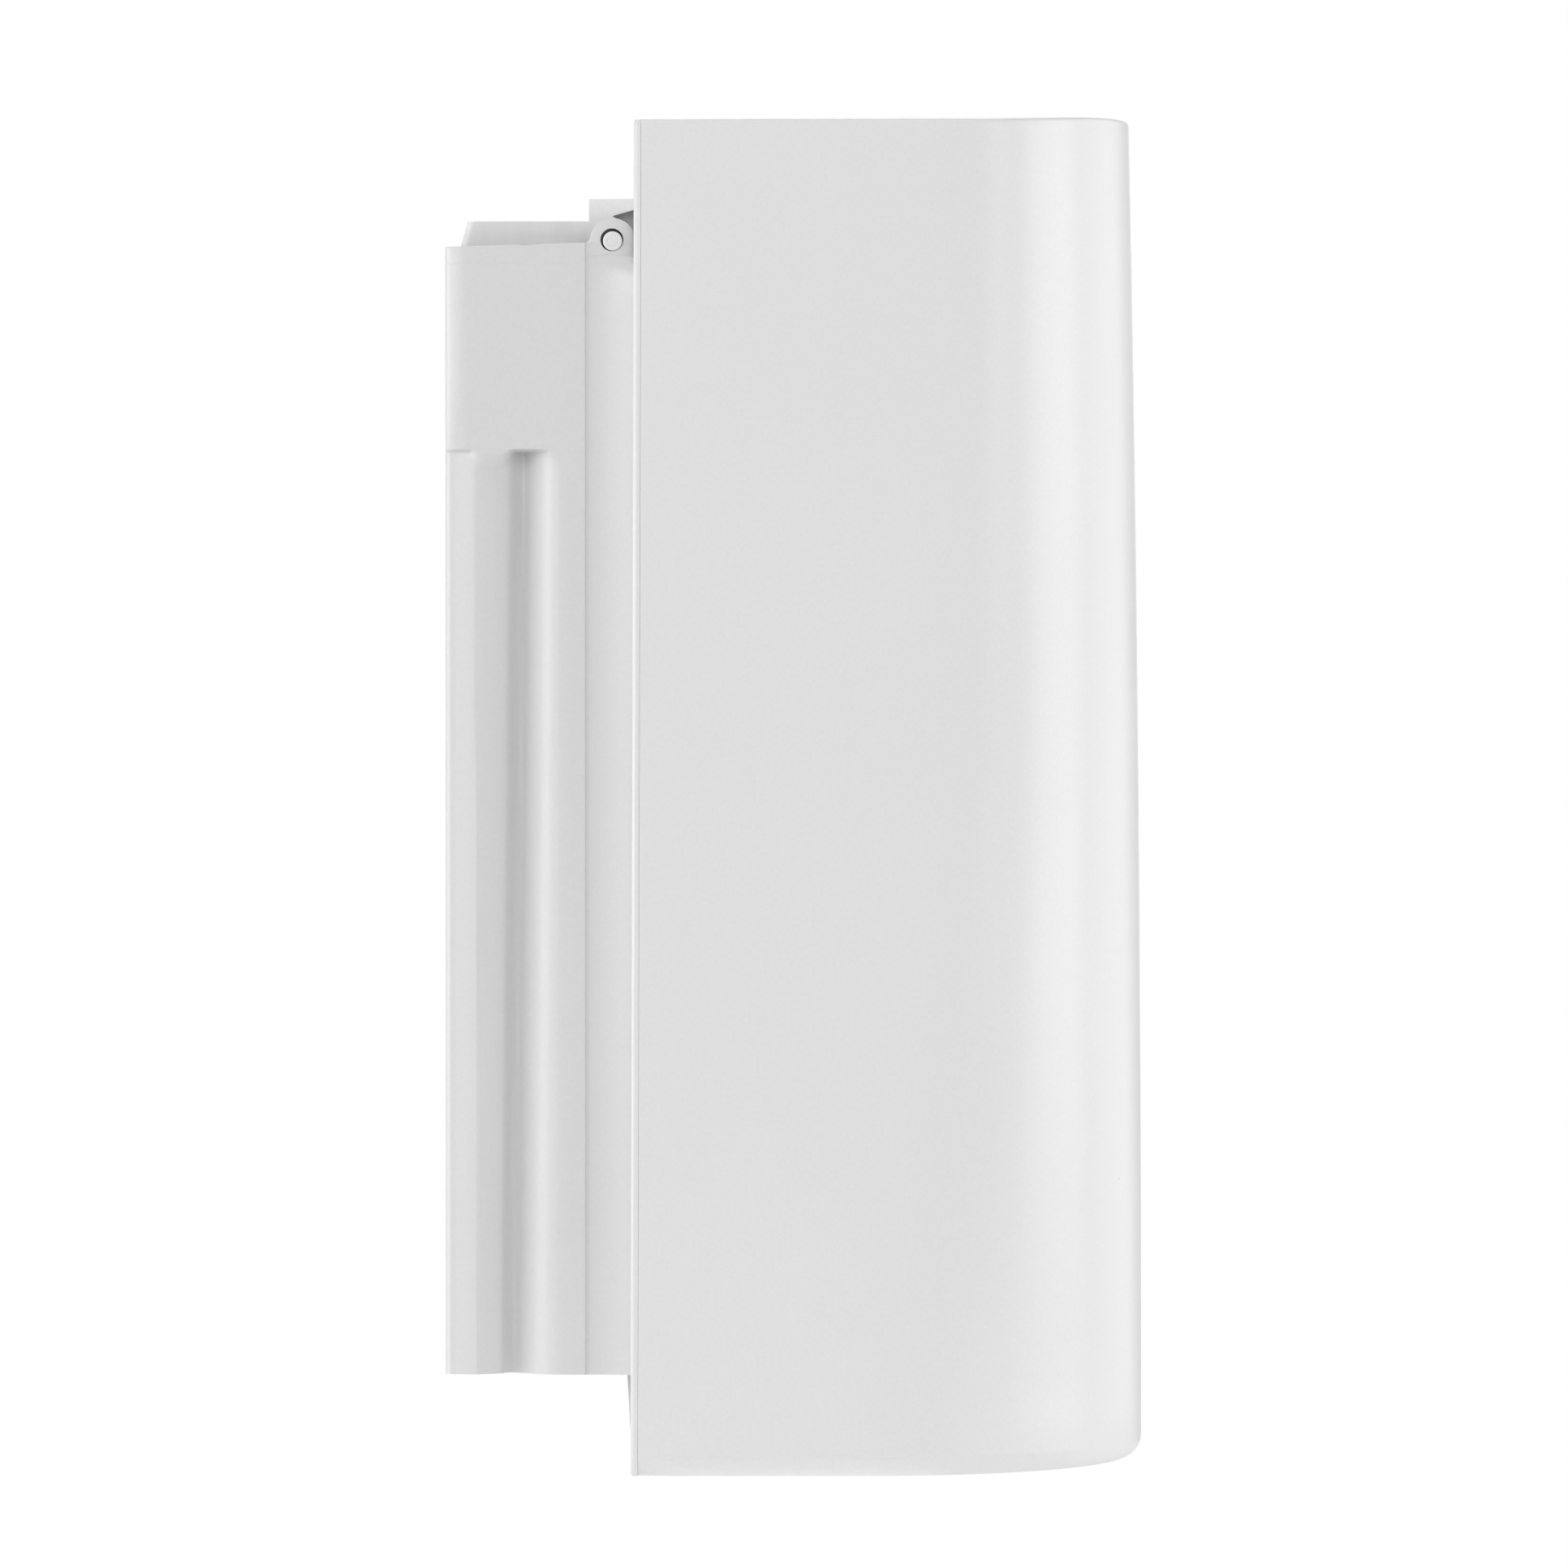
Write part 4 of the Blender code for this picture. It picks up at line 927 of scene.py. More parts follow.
def hinge_rods(radius, near, far):
    """Rods on the hinge's axis, at both sides, between two distances from the middle."""
    axis = [(HINGE_Y, HINGE_Z)]
    return [rods("pin_rod", radius, sorted((side * near, side * far)), axis, "X", 40) for side in (-1, 1)]


def make_back_frame():
    opening = rounded_rectangle((-FRAME_OPENING_X, FRAME_OPENING_X), FRAME_OPENING_Z, 0.006)
    made = plate("hood_rear_trim", [frame_outline(), opening], XZ_PLANE, (HOOD_REAR + 0.00003, FRAME_REAR))
    outside = (FRAME_OPENING_X + 0.002, FRAME_OPENING_Z[0] - 0.002, FRAME_OPENING_Z[1] + 0.002)

    def outer(centre):
        return abs(centre.x) > outside[0] or not outside[1] < centre.z < outside[2]

    round_edges(made, 0.0010, 4, lambda centre: outer(centre) and centre.y > FRAME_REAR - 0.0001)
    for vertex in made.data.vertices:
        vertex.co.y += rear_lean(vertex.co.z)
    wedge = [(-0.0532, -0.1666), (-0.0555, -0.1666), (-0.0555, -0.1900), (-0.0545, -0.1900)]
    tabs = []
    for side in (-1, 1):
        for z in (-0.120, 0.010, 0.120):
            lo, hi = sorted((side * 0.0862, side * 0.0876))
            tabs.append(block("tab", (lo, -0.0665, z - 0.010), (hi, -0.0555, z + 0.010), 0.0004))
    join(made, knuckle(-1), knuckle(1), plate("wedge", [wedge], YZ_PLANE, (-0.070, 0.070)), *tabs)
    join(made, *hinge_rods(0.0062, 0.071, 0.0830))
    bores = hinge_rods(0.00313, 0.059, 0.080) + hinge_rods(0.0042, 0.0790, 0.0840)
    places = [(side * 0.0846, -0.0556, HINGE_Z) for side in (-1, 1)]
    reliefs = blocks("reliefs", places, (0.0034, 0.010, 0.0130))
    cut(made, notch_cutter((0.070, -0.070), (0.095, -0.050)), *bores, reliefs)
    finish_piece(made, "hood_back_frame", degrees=40.0)


def make_hinge_pins():
    """Pins with a flat, softly rounded head and a shallow ejector ring in its face."""
    for node, side in (("hinge_pin_left", -1), ("hinge_pin_right", 1)):
        lo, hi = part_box(node)
        outer, inner = (lo.x, hi.x) if side < 0 else (hi.x, lo.x)
        radius = (hi.z - lo.z) / 2
        step = -side * 0.0001
        profile = [(0.0, outer), (radius * 0.52, outer)]
        profile += [(radius * 0.56, outer + step), (radius * 0.60, outer)]
        for k in range(5):
            turn = math.pi / 2 * k / 4
            rounding = 0.00045
            reach = outer - side * rounding * (1.0 - math.cos(turn))
            profile.append((radius - rounding * (1.0 - math.sin(turn)), reach))
        profile += [(radius, inner + side * 0.0008), (radius - 0.0008, inner), (0.0, inner)]
        finish_piece(lathe(node + "_peg", profile, (HINGE_Y, HINGE_Z)), node)


# --------------------------------------------------------------------- channel

STRIP_REAR_INSET = 0.0026
GROOVE_KNOTS = [
    (0.0, STRIP_REAR_INSET),
    (-0.0092, 0.0009),
    (-0.0112, 0.0013),
    (-0.0148, 0.0028),
    (-0.0180, 0.0046),
    (-0.0197, 0.0060),
    (-0.0203, 0.0077),
    (-0.0210, 0.0088),
    (-0.0219, 0.0095),
    (-0.0229, 0.0097),
    (-0.0238, 0.0091),
    (-0.0252, 0.0071),
    (-0.0268, 0.0049),
    (-0.0288, 0.0026),
    (-0.0309, 0.0009),
    (-0.0325, 0.0002),
    (-0.0338, 0.0),
]
CREASE_DRIFT = 0.0030
MARK_AT = -0.0046
MARK_HALF = 0.0046
MARK_DEPTH = 0.0010


def groove_inset(y, z):
    """How far the grooved side wall lies inside the flat part. Its crease leans to the wall lower down."""
    share = (GROOVE_TOP - z) / (GROOVE_TOP - CHANNEL_BOTTOM)
    fixed_rear, fixed_front = GROOVE_KNOTS[1][0], GROOVE_KNOTS[-1][0]
    drift = CREASE_DRIFT * share * min(1.0, max(0.0, (y - fixed_front) / 0.012)) if y < fixed_rear else 0.0
    return along(GROOVE_KNOTS, min(y - drift, max(y, fixed_rear)))


def groove_share(y, z):
    """1 where the groove is fully cut and 0 above it. The ledge is abrupt except in front of the strip."""
    soft = ease(-0.0070, -0.0110, y) * ease(-0.0205, -0.0170, y) + ease(-0.0285, -0.0325, y)
    return ease(GROOVE_TOP, GROOVE_TOP - GROOVE_LEDGE - 0.0055 * min(1.0, soft), z)


def ledge_mark(y, z):
    """A shallow dimple just under the ledge, in the rear strip."""
    across = max(0.0, 1.0 - ((y - MARK_AT) / MARK_HALF) ** 2) ** 2
    return MARK_DEPTH * across * ease(GROOVE_TOP, GROOVE_TOP - 0.0007, z) * ease(0.1015, 0.1050, z)


def band_flare(y, z):
    """How far the front band lies inside the flat part: it steps in, then flares out towards the hood."""
    if y > BAND_START:
        return 0.0
    share = (BAND_START - y) / (BAND_START - CHANNEL_FRONT)
    return BAND_STEP - BAND_FLARE * share**2 * ease(0.163, 0.156, z)


def channel_depths():
    """Places along the side wall, from the front edge to where the rear corner starts."""
    depths = [CHANNEL_FRONT + (BAND_START - CHANNEL_FRONT) * k / 8 for k in range(9)]
    depths[-1] = BAND_START - 0.0005
    depths += [BAND_START - 0.0002, BAND_START, BAND_START + 0.0003, -0.0375]
    depths += [-0.0338 + (-0.0072 + 0.0338) * k / 28 for k in range(29)]
    return depths


def channel_section(z):
    """Plan outline at a height: flat sides above the ledge and grooved sides below it."""
    share = groove_share(0.0, z)
    corner = 0.0066 + (0.0022 - 0.0066) * share
    shoulder = 0.0030 + (0.0022 - 0.0030) * share
    half = []
    for y in channel_depths():
        inset = groove_share(y, z) * groove_inset(y, z) + ledge_mark(y, z) + band_flare(y, z)
        half.append((CHANNEL_HALF_W - inset, y))
    rear_side = CHANNEL_HALF_W - share * STRIP_REAR_INSET
    last_side, last_y = half[-1]
    for k in range(1, 4):
        t = k / 4
        half.append((last_side + (rear_side - last_side) * t, last_y + (-corner - last_y) * t))
    for k in range(10):
        turn = math.pi / 2 * k / 9
        half.append((rear_side - shoulder + shoulder * math.cos(turn), -corner + corner * math.sin(turn)))
    return half + [(-x, y) for x, y in reversed(half)]


def channel_top(y):
    """The rim rises towards the hood, with one shallow dip."""
    share = min(1.0, y / BAND_START)
    dip = 0.00035 * math.exp(-(((y + 0.0244) / 0.0022) ** 2))
    return CHANNEL_TOP_REAR + (CHANNEL_TOP_FRONT - CHANNEL_TOP_REAR) * share - dip


def channel_rings():
    """Sections from the bottom edge to the rim: grooved below the ledge, and flat above it."""
    soft_foot = GROOVE_TOP - GROOVE_LEDGE - 0.0056
    levels = [CHANNEL_BOTTOM + (soft_foot - CHANNEL_BOTTOM) * k / 12 for k in range(12)]
    levels += [soft_foot + (GROOVE_TOP - GROOVE_LEDGE - soft_foot) * k / 10 for k in range(10)]
    levels += [GROOVE_TOP - GROOVE_LEDGE * (1 - k / 8) for k in range(9)]
    rings = [[(x, y, z) for x, y in channel_section(z)] for z in levels]
    lip = 0.00012
    for z in (0.125, 0.140, 0.150, 0.156, 0.158, WITNESS_Z - 0.0001, WITNESS_Z + 0.0001, 0.1615, 0.163):
        inset = lip if z > WITNESS_Z else 0.0
        rings.append([(x - math.copysign(inset, x), y, z) for x, y in channel_section(z)])
    flat = channel_section(CHANNEL_TOP_REAR)
    rings.append([(x - math.copysign(lip, x), y, channel_top(y) - 0.0003) for x, y in flat])
    rings.append([(x - math.copysign(lip + 0.0002, x), y, channel_top(y)) for x, y in flat])
    return rings


def ear(side):
    """A hinge ear: a disc that rises from the rim, with a small fillet on its wall side."""
    foot = HINGE_Z - 0.0045
    fillet = 0.0016
    reach = EAR_RADIUS + fillet
    rise = channel_top(HINGE_Y) + fillet - HINGE_Z
    run = math.sqrt(reach**2 - rise**2)
    touch = math.atan2(rise, run)
    points = circle((HINGE_Y, HINGE_Z), EAR_RADIUS, 40, -0.35, math.pi - touch + 0.35)
    centre = (HINGE_Y + run, HINGE_Z + rise)
    toe = circle(centre, fillet, 8, math.pi + touch, math.pi / 2 - touch)
    towards_wall = [(2 * HINGE_Y - y, z) for y, z in points]
    outline = towards_wall + toe + [(centre[0], foot), (HINGE_Y - EAR_RADIUS * 0.9, foot)]
    outer = CHANNEL_HALF_W - BAND_STEP - 0.00002
    ends = sorted((side * (outer - EAR_SHEET), side * outer))
    return plate("ear", [outline], YZ_PLANE, ends, 0.0002)


def make_channel():
    bm = bmesh.new()
    loft(bm, channel_rings())
    made = thicken(new_object("channel_body", bm), CHANNEL_WALL)
    spots = [(x, z) for x in (-0.066, 0.066) for z in (-0.080, 0.020)]
    bosses = rods("bosses", 0.0050, (-0.0237, -CHANNEL_WALL / 2), spots, "Y", 28)
    join(made, bosses, ear(-1), ear(1))
    hole_at = [(HINGE_Y + 0.00022, HINGE_Z + 0.00036)]
    holes = [rods("hole", EAR_HOLE, (side * 0.080, side * 0.090), hole_at, "X", 48) for side in (-1, 1)]
    spots = [(x, z) for x in (-0.052, 0.052) for z in (-0.120, 0.075)]
    keyholes = rods("keyholes", 0.0035, (-0.004, 0.002), spots, "Y", 28)
    cut(made, *holes, keyholes)
    finish_piece(made, "rear_channel", degrees=28.0)


def make_liner():
    """The tray in the top of the channel, with a folded rim and three stiffening beads in its back."""
    lo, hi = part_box("wiring_liner")
    floor, rim, sill = lo.z, hi.z, 0.166
    front, half = lo.y, hi.x
    back_low, lean = hi.y, -0.0019
    levels = [(floor, back_low), (floor + 0.004, back_low), (sill, back_low), (rim - 0.0004, back_low + lean)]
    levels.append((rim, back_low + lean))
    corner = 0.0022
    bm = bmesh.new()
    rings = []
    for z, back in levels:
        ring = [(half, front, z)]
        bend = circle((0.0, 0.0), corner, 6, 0.0, math.pi / 2)
        ring += [(half - corner + x, back - corner + y, z) for x, y in bend]
        rings.append(ring + [(-x, y, z) for x, y, z in reversed(ring)])
    rows = loft(bm, rings)
    cap(bm, rows[0], lambda x, y: floor)
    bmesh.ops.recalc_face_normals(bm, faces=bm.faces)
    side = max(bm.faces, key=lambda face: face.calc_center_median().x)
    if side.normal.x < 0.0:
        bmesh.ops.reverse_faces(bm, faces=bm.faces)
    made = thicken(new_object("liner_tray", bm), 0.0015)
    beads = []
    for x in (-0.048, 0.0, 0.048):
        bead = [(back_low - 0.0009, floor + 0.012), (back_low - 0.0026, floor + 0.014)]
        bead += [(back_low - 0.0026, 0.158), (back_low - 0.0009, 0.160)]
        beads.append(plate("bead", [bead], YZ_PLANE, (x - 0.004, x + 0.004), 0.0005))
    finish_piece(join(made, *beads), "wiring_liner")


# ----------------------------------------------------------------- small parts


def block_in(name, box, low, high, rounding=0.0, segments=2):
    """A block whose corners lie at offsets from a box's lowest and highest corners."""
    lowest, highest = ([a + b for a, b in zip(corner, by)] for corner, by in zip(box, (low, high)))
    return block(name, lowest, highest, rounding, segments)


def between(low, high, near, far):
    """A profile's (radius, place) pairs: the near ones rise from low, and the far ones lie below high."""
    return [(radius, low + rise) for radius, rise in near] + [(radius, high - drop) for radius, drop in far]


def turned(name, node, profile, centre, axis="X", steps=48):
    return finish_piece(lathe(name, profile, centre, axis, steps), node)


def screw(name, node, centre, base, radius, height, axis="Y", look=None):
    """A pan-head screw with a cross recess, on a face at base that looks down the axis."""
    rise = [(radius, 0.0), (radius, 0.35), (radius * 0.93, 0.65), (radius * 0.72, 0.90), (radius * 0.40, 1.0)]
    profile = [(0.0, base)] + [(r, base - height * share) for r, share in rise + [(0.0, 1.0)]]
    made = lathe(name, profile, centre, axis, 28)
    arms = []
    for first, second in ((radius * 0.62, radius * 0.16), (radius * 0.16, radius * 0.62)):
        lo, hi = [centre[0] - first, centre[1] - second], [centre[0] + first, centre[1] + second]
        for corner, share in ((lo, 1.4), (hi, 0.45)):
            corner.insert("XYZ".index(axis), base - height * share)
        arms.append(block("arm", lo, hi))
    return finish_piece(cut(made, *arms), node, look)


def screws(name, node, spots, base, radius, height, look, axis="Y"):
    for number, spot in enumerate(spots, 1):
        screw(f"{name}_{number}", node, spot, base, radius, height, axis, look)


def pin_row(name, node, places, size):
    """Square pins, each with its end drawn in a little, so that none is a bare box."""
    finish_piece(bevel(blocks(name, places, size), min(size) * 0.22, 1), node, TIN)


def middle(node):
    lo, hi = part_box(node)
    return (lo + hi) / 2


def grid(xs, zs):
    return [(x, z) for x in xs for z in zs]


# --------------------------------------------------------------- channel trims

GROMMET_AT = (0.040, -0.030)
MAINS_ROW_Z = 0.122
CORD_AT = (-0.052, -0.0133)


def make_end_plate():
    """The channel's lower end: a plate with rounded edges, a way for the grommet and two drain slots."""
    lo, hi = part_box("channel_end_plate")
    rear, front = -CHANNEL_WALL - GAP, CHANNEL_FRONT + 0.0003
    section = channel_section(CHANNEL_BOTTOM)
    outline = [(x - math.copysign(0.0034, x), min(max(y, front), rear)) for x, y in section]
    slots = [rounded_rectangle((x - 0.012, x + 0.012), (-0.024, -0.020), 0.0018) for x in (-0.050, -0.010)]
    outlines = [outline, circle(GROMMET_AT, 0.008, 40), *slots]
    finish_piece(plate("lower_end_plate", outlines, XY_PLANE, (lo.z, hi.z), 0.0003), "channel_end_plate")


def make_grommet():
    """A blanking grommet: a grooved ring closed by a thin web with a raised centre."""
    lo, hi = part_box("end_plate_grommet")
    radius = (hi.x - lo.x) / 2
    web = [(0.0, 0.0010), (0.0022, 0.0010), (0.0026, 0.0014), (radius * 0.66, 0.0014)]
    web += [(radius * 0.74, 0.0002), (radius * 0.90, 0.0), (radius, 0.0006)]
    rim = [(radius, 0.0006), (radius * 0.92, 0.0), (radius * 0.74, 0.0)]
    rim += [(radius * 0.66, 0.0008), (0.0, 0.0008)]
    turned("blanking_grommet", "end_plate_grommet", between(lo.z, hi.z, web, rim), GROMMET_AT, "Z")


def make_mains_wiring():
    """The mains terminals, with their wells, ways and walls, and the cord's ribbed saddle."""
    lo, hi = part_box("mains_terminal_block")
    made = block("mains_terminal_strip", lo, hi, 0.0008)
    columns = [lo.x + 0.012 + 0.018 * k for k in range(3)]
    cutters = []
    for x in columns:
        cutters.append(rods("well", 0.0030, (lo.y - 0.001, lo.y + 0.0060), [(x, MAINS_ROW_Z)], "Y", 28))
        way = ((x - 0.0022, lo.y + 0.0075, hi.z - 0.004), (x + 0.0022, lo.y + 0.0120, hi.z + 0.001))
        cutters.append(block("wire_way", *way))
    for k in range(2):
        x = lo.x + 0.021 + 0.018 * k
        gap = ((x - 0.0007, lo.y - 0.001, lo.z - 0.001), (x + 0.0007, lo.y + 0.0035, hi.z + 0.001))
        cutters.append(block("gap", *gap))
    spots = grid(columns, [MAINS_ROW_Z])
    screws("mains_screw", "mains_terminal_block", spots, lo.y + 0.0062, 0.0026, 0.0018, TIN)
    finish_piece(cut(made, *cutters), "mains_terminal_block")
    lo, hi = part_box("cord_clamp")
    made = block("cord_saddle", lo, hi, 0.0014, 3)
    cutters = [rods("way", 0.005, (0.13, 0.16), [CORD_AT], "Z", 40)]
    for z in (0.1425, 0.1465):
        low, high = (lo.x + 0.0030, lo.y - 0.001, z), (lo.x + 0.0050, lo.y + 0.0008, z + 0.0012)
        cutters.append(block("rib", low, high))
    finish_piece(cut(made, *cutters), "cord_clamp")
    spots = grid((lo.x + 0.0042, hi.x - 0.0042), [0.146])
    screws("cord_saddle_screw", "cord_clamp", spots, lo.y, 0.0026, 0.0016, ZINC)


# ------------------------------------------------------------------ hood parts


def make_lamp():
    lo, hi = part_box("light_lens")
    flange = block("lamp_lens", (lo.x, lo.y, hi.z - 0.0018), hi, 0.0005)
    inset = 0.0044
    window = block_in("window", (lo, hi), (inset, inset, 0.0), (-inset, -inset, -0.0010), 0.0009, 3)
    grooves = []
    for k in range(20):
        x = lo.x + inset + 0.0045 + 0.0042 * k
        low, high = (x, lo.y + inset + 0.003, lo.z - 0.001), (x + 0.0008, hi.y - inset - 0.003, lo.z + 0.0004)
        grooves.append(block("groove", low, high))
    finish_piece(cut(join(flange, window), *grooves), "light_lens")
    lo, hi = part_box("led_board")
    outline = rounded_rectangle((lo.x, hi.x), (lo.y, hi.y), 0.0015)
    finish_piece(plate("lamp_board", [outline], XY_PLANE, (lo.z, hi.z), 0.0002), "led_board")
    rows = [(lo.y + hi.y) / 2 + row for row in (-0.010, 0.010)]
    columns = [lo.x + 0.010 + 0.012 * column for column in range(6)]
    chips = [(x, y, lo.z - 0.0004) for x, y in grid(columns, rows)]
    chips = bevel(blocks("lamp_chips", chips, (0.0035, 0.0028, 0.0008)), 0.0002)
    finish_piece(chips, "led_board", LOOKS["button_yellow"])


def make_lock():
    """The quarter-turn stud, with its bar and driver slot, and the keeper that the bar turns behind."""
    lo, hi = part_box("cover_lock_stud")
    shank, head, seat = 0.0030, 0.0070, 0.0904
    profile = [(0.0, hi.x), (head * 0.70, hi.x), (head * 0.92, hi.x - 0.0004), (head, hi.x - 0.0011)]
    profile += [(head, seat + 0.0003), (head - 0.0003, seat), (shank, seat)]
    profile += [(shank, lo.x + 0.0010), (shank - 0.0004, lo.x + 0.0005), (0.0, lo.x + 0.0005)]
    stud = lathe("quarter_turn_stud", profile, (LOCK_Y, LOCK_Z))
    low, high = (lo.x, LOCK_Y - 0.0022, LOCK_Z - 0.007), (lo.x + 0.0025, LOCK_Y + 0.0022, LOCK_Z + 0.007)
    join(stud, block("bar", low, high, 0.0006))
    low = (hi.x - 0.0010, LOCK_Y - 0.0008, LOCK_Z - 0.009)
    high = (hi.x + 0.002, LOCK_Y + 0.0008, LOCK_Z + 0.009)
    finish_piece(cut(stud, block("slot", low, high)), "cover_lock_stud")
    lo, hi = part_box("lock_keeper")
    half = 0.0046
    outline = rounded_rectangle((lo.y, hi.y), (lo.z, hi.z), 0.0015)
    made = plate("keeper_plate", [outline], YZ_PLANE, (lo.x, hi.x), 0.0003)
    low, high = (lo.x - 0.001, lo.y - 0.001, LOCK_Z - half), (hi.x + 0.001, LOCK_Y + 0.0055, LOCK_Z + half)
    finish_piece(cut(made, block("way", low, high, 0.0004)), "lock_keeper")


# ----------------------------------------------------------------- drive train

OUTPUT_AT = (OUTPUT_Y, OUTPUT_Z)
MOTOR_AT = (PINION_Y, PINION_Z)
SHAFT_BORE = 0.0093
GEAR_MODULE = 0.0015
GEAR_TEETH = 40
PINION_TEETH = 12
PRESSURE_ANGLE = math.radians(25.0)


def tooth_flank(teeth, thinning=0.0004):
    """Half an involute tooth from root to tip, as (radius, half angle) pairs."""
    pitch = GEAR_MODULE * teeth / 2
    base = pitch * math.cos(PRESSURE_ANGLE)
    root, tip = pitch - 1.25 * GEAR_MODULE, pitch + 0.9 * GEAR_MODULE
    half_at_pitch = (math.pi * GEAR_MODULE / 2 - thinning) / 2 / pitch
    spread = math.tan(PRESSURE_ANGLE) - PRESSURE_ANGLE
    flank = []
    first = max(base, root)
    for k in range(7):
        radius = first + (tip - first) * k / 6
        angle = math.acos(min(1.0, base / radius))
        flank.append((radius, half_at_pitch + spread - (math.tan(angle) - angle)))
    if root < base:
        flank.insert(0, (root, flank[0][1]))
    return flank


def gear_outline(teeth, centre, first_tooth):
    """A spur gear's outline with a tooth centred at the angle first_tooth, in the Y-Z plane."""
    flank = tooth_flank(teeth)
    points = []
    for tooth in range(teeth):
        centre_line = first_tooth + 2 * math.pi * tooth / teeth
        sides = [(radius, centre_line - half) for radius, half in flank]
        sides += [(radius, centre_line + half) for radius, half in reversed(flank)]
        points += [(centre[0] + r * math.cos(a), centre[1] + r * math.sin(a)) for r, a in sides]
    return points


def make_gears():
    """The gears mesh on the line between their centres, as the CAD's do. The large one has webs and holes."""
    towards = math.atan2(PINION_Z - OUTPUT_Z, PINION_Y - OUTPUT_Y)
    lo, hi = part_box("output_gear")
    holes = [circle(spot, 0.0036, 24) for spot in circle(OUTPUT_AT, 0.0185, 6)]
    outlines = [gear_outline(GEAR_TEETH, OUTPUT_AT, towards), circle(OUTPUT_AT, SHAFT_BORE, 48), *holes]
    gear = plate("nylon_gear", outlines, YZ_PLANE, (lo.x, hi.x))
    webs = []
    for face in (lo.x, hi.x):
        near, far = face - 0.0022, face + 0.0022
        profile = [(0.0150, near), (0.0222, near), (0.0222, far), (0.0150, far)]
        webs.append(lathe("web", profile, OUTPUT_AT))
    finish_piece(bevel(cut(gear, *webs), 0.0002, 1), "output_gear")
    lo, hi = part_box("drive_pinion")
    first = towards + math.pi + math.pi / PINION_TEETH
    outlines = [gear_outline(PINION_TEETH, MOTOR_AT, first), circle(MOTOR_AT, 0.0043, 32)]
    finish_piece(plate("steel_pinion", outlines, YZ_PLANE, (lo.x, hi.x), 0.00025, 1), "drive_pinion")
    lo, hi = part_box("motor_shaft")
    radius = (hi.y - lo.y) / 2
    tip = [(radius, 0.0006), (radius - 0.0006, 0.0), (0.0011, 0.0), (0.0, 0.0008)]
    profile = between(lo.x, hi.x, [(0.0, 0.0), (radius, 0.0)], tip)
    turned("pinion_shaft", "motor_shaft", profile, MOTOR_AT, steps=32)


def make_output():
    """The shaft, with its retaining rings in their grooves."""
    lo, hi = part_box("output_shaft")
    radius = (hi.z - lo.z) / 2
    profile = [(0.0, lo.x + 0.0012), (0.0018, lo.x), (radius - 0.0008, lo.x), (radius, lo.x + 0.0008)]
    for x in (0.0275, 0.0672):
        profile += [(radius, x), (radius - 0.0007, x + 0.0001)]
        profile += [(radius - 0.0007, x + 0.0010), (radius, x + 0.0011)]
    profile += [(radius, hi.x - 0.0008), (radius - 0.0008, hi.x), (0.0018, hi.x), (0.0, hi.x - 0.0012)]
    turned("drive_shaft", "output_shaft", profile, OUTPUT_AT)
    for number, x in enumerate((0.0276, 0.0673), 1):
        profile = [(0.0084, x), (0.0106, x), (0.0106, x + 0.0008), (0.0084, x + 0.0008)]
        ring = lathe(f"retaining_ring_{number}", profile, OUTPUT_AT)
        low, high = (x - 0.001, OUTPUT_Y - 0.0022, OUTPUT_Z), (x + 0.002, OUTPUT_Y + 0.0022, OUTPUT_Z + 0.012)
        finish_piece(cut(ring, block("gap", low, high)), "output_shaft", ZINC)


def make_encoder_wheel():
    """The slotted wheel that the sensor reads."""
    lo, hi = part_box("encoder_wheel")
    outlines = [circle(OUTPUT_AT, (hi.z - lo.z) / 2, 64), circle(OUTPUT_AT, SHAFT_BORE, 40)]
    for k in range(18):
        turn = 2 * math.pi * k / 18
        inner = circle(OUTPUT_AT, 0.0100, 3, turn - 0.07, 0.14)
        outlines.append(inner + circle(OUTPUT_AT, 0.0122, 3, turn + 0.07, -0.14))
    finish_piece(plate("slotted_wheel", outlines, YZ_PLANE, (lo.x, hi.x)), "encoder_wheel")


def make_collar():
    """The collar that takes the torsion bar, with two turned grooves and its set screws."""
    lo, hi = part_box("drive_collar")
    radius, bore, chamfer = (hi.z - lo.z) / 2, 0.01285, 0.0012
    seat = lo.x + 0.006
    profile = [(bore + 0.0008, hi.x), (radius - chamfer, hi.x), (radius - 0.0003, hi.x - chamfer * 0.7)]
    profile.append((radius, hi.x - chamfer * 1.3))
    for x in (0.1225, 0.1020):
        profile += [(radius, x), (radius - 0.0006, x - 0.0003)]
        profile += [(radius - 0.0006, x - 0.0009), (radius, x - 0.0012)]
    profile += [(radius, lo.x + chamfer), (radius - chamfer, lo.x), (SHAFT_BORE, lo.x), (SHAFT_BORE, seat)]
    profile += [(bore, seat), (bore, hi.x - 0.0008)]
    collar = lathe("bar_collar", profile, OUTPUT_AT, steps=72)
    screw_x = (0.106, 0.118)
    holes = rods("holes", 0.0034, (OUTPUT_Z, OUTPUT_Z + 0.030), [(x, OUTPUT_Y) for x in screw_x], "Z", 28)
    finish_piece(cut(collar, holes), "drive_collar")
    for number, x in enumerate(screw_x, 1):
        node = f"collar_set_screw_{number}"
        low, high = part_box(node)
        radius = (high.x - low.x) / 2
        profile = [(0.0, low.z), (radius * 0.55, low.z), (radius, low.z + 0.0010)]
        for k in range(7):
            z = low.z + 0.0016 + 0.0010 * k
            profile += [(radius, z), (radius - 0.0003, z + 0.0004)]
        profile += [(radius, high.z - 0.0004), (radius - 0.0004, high.z), (0.0, high.z)]
        body = lathe(f"hex_set_screw_{number}", profile, (x, OUTPUT_Y), "Z", 28)
        hexagon = circle((x, OUTPUT_Y), radius * 0.52, 6)
        finish_piece(cut(body, plate("socket", [hexagon], XY_PLANE, (high.z - 0.0022, high.z + 0.001))), node)


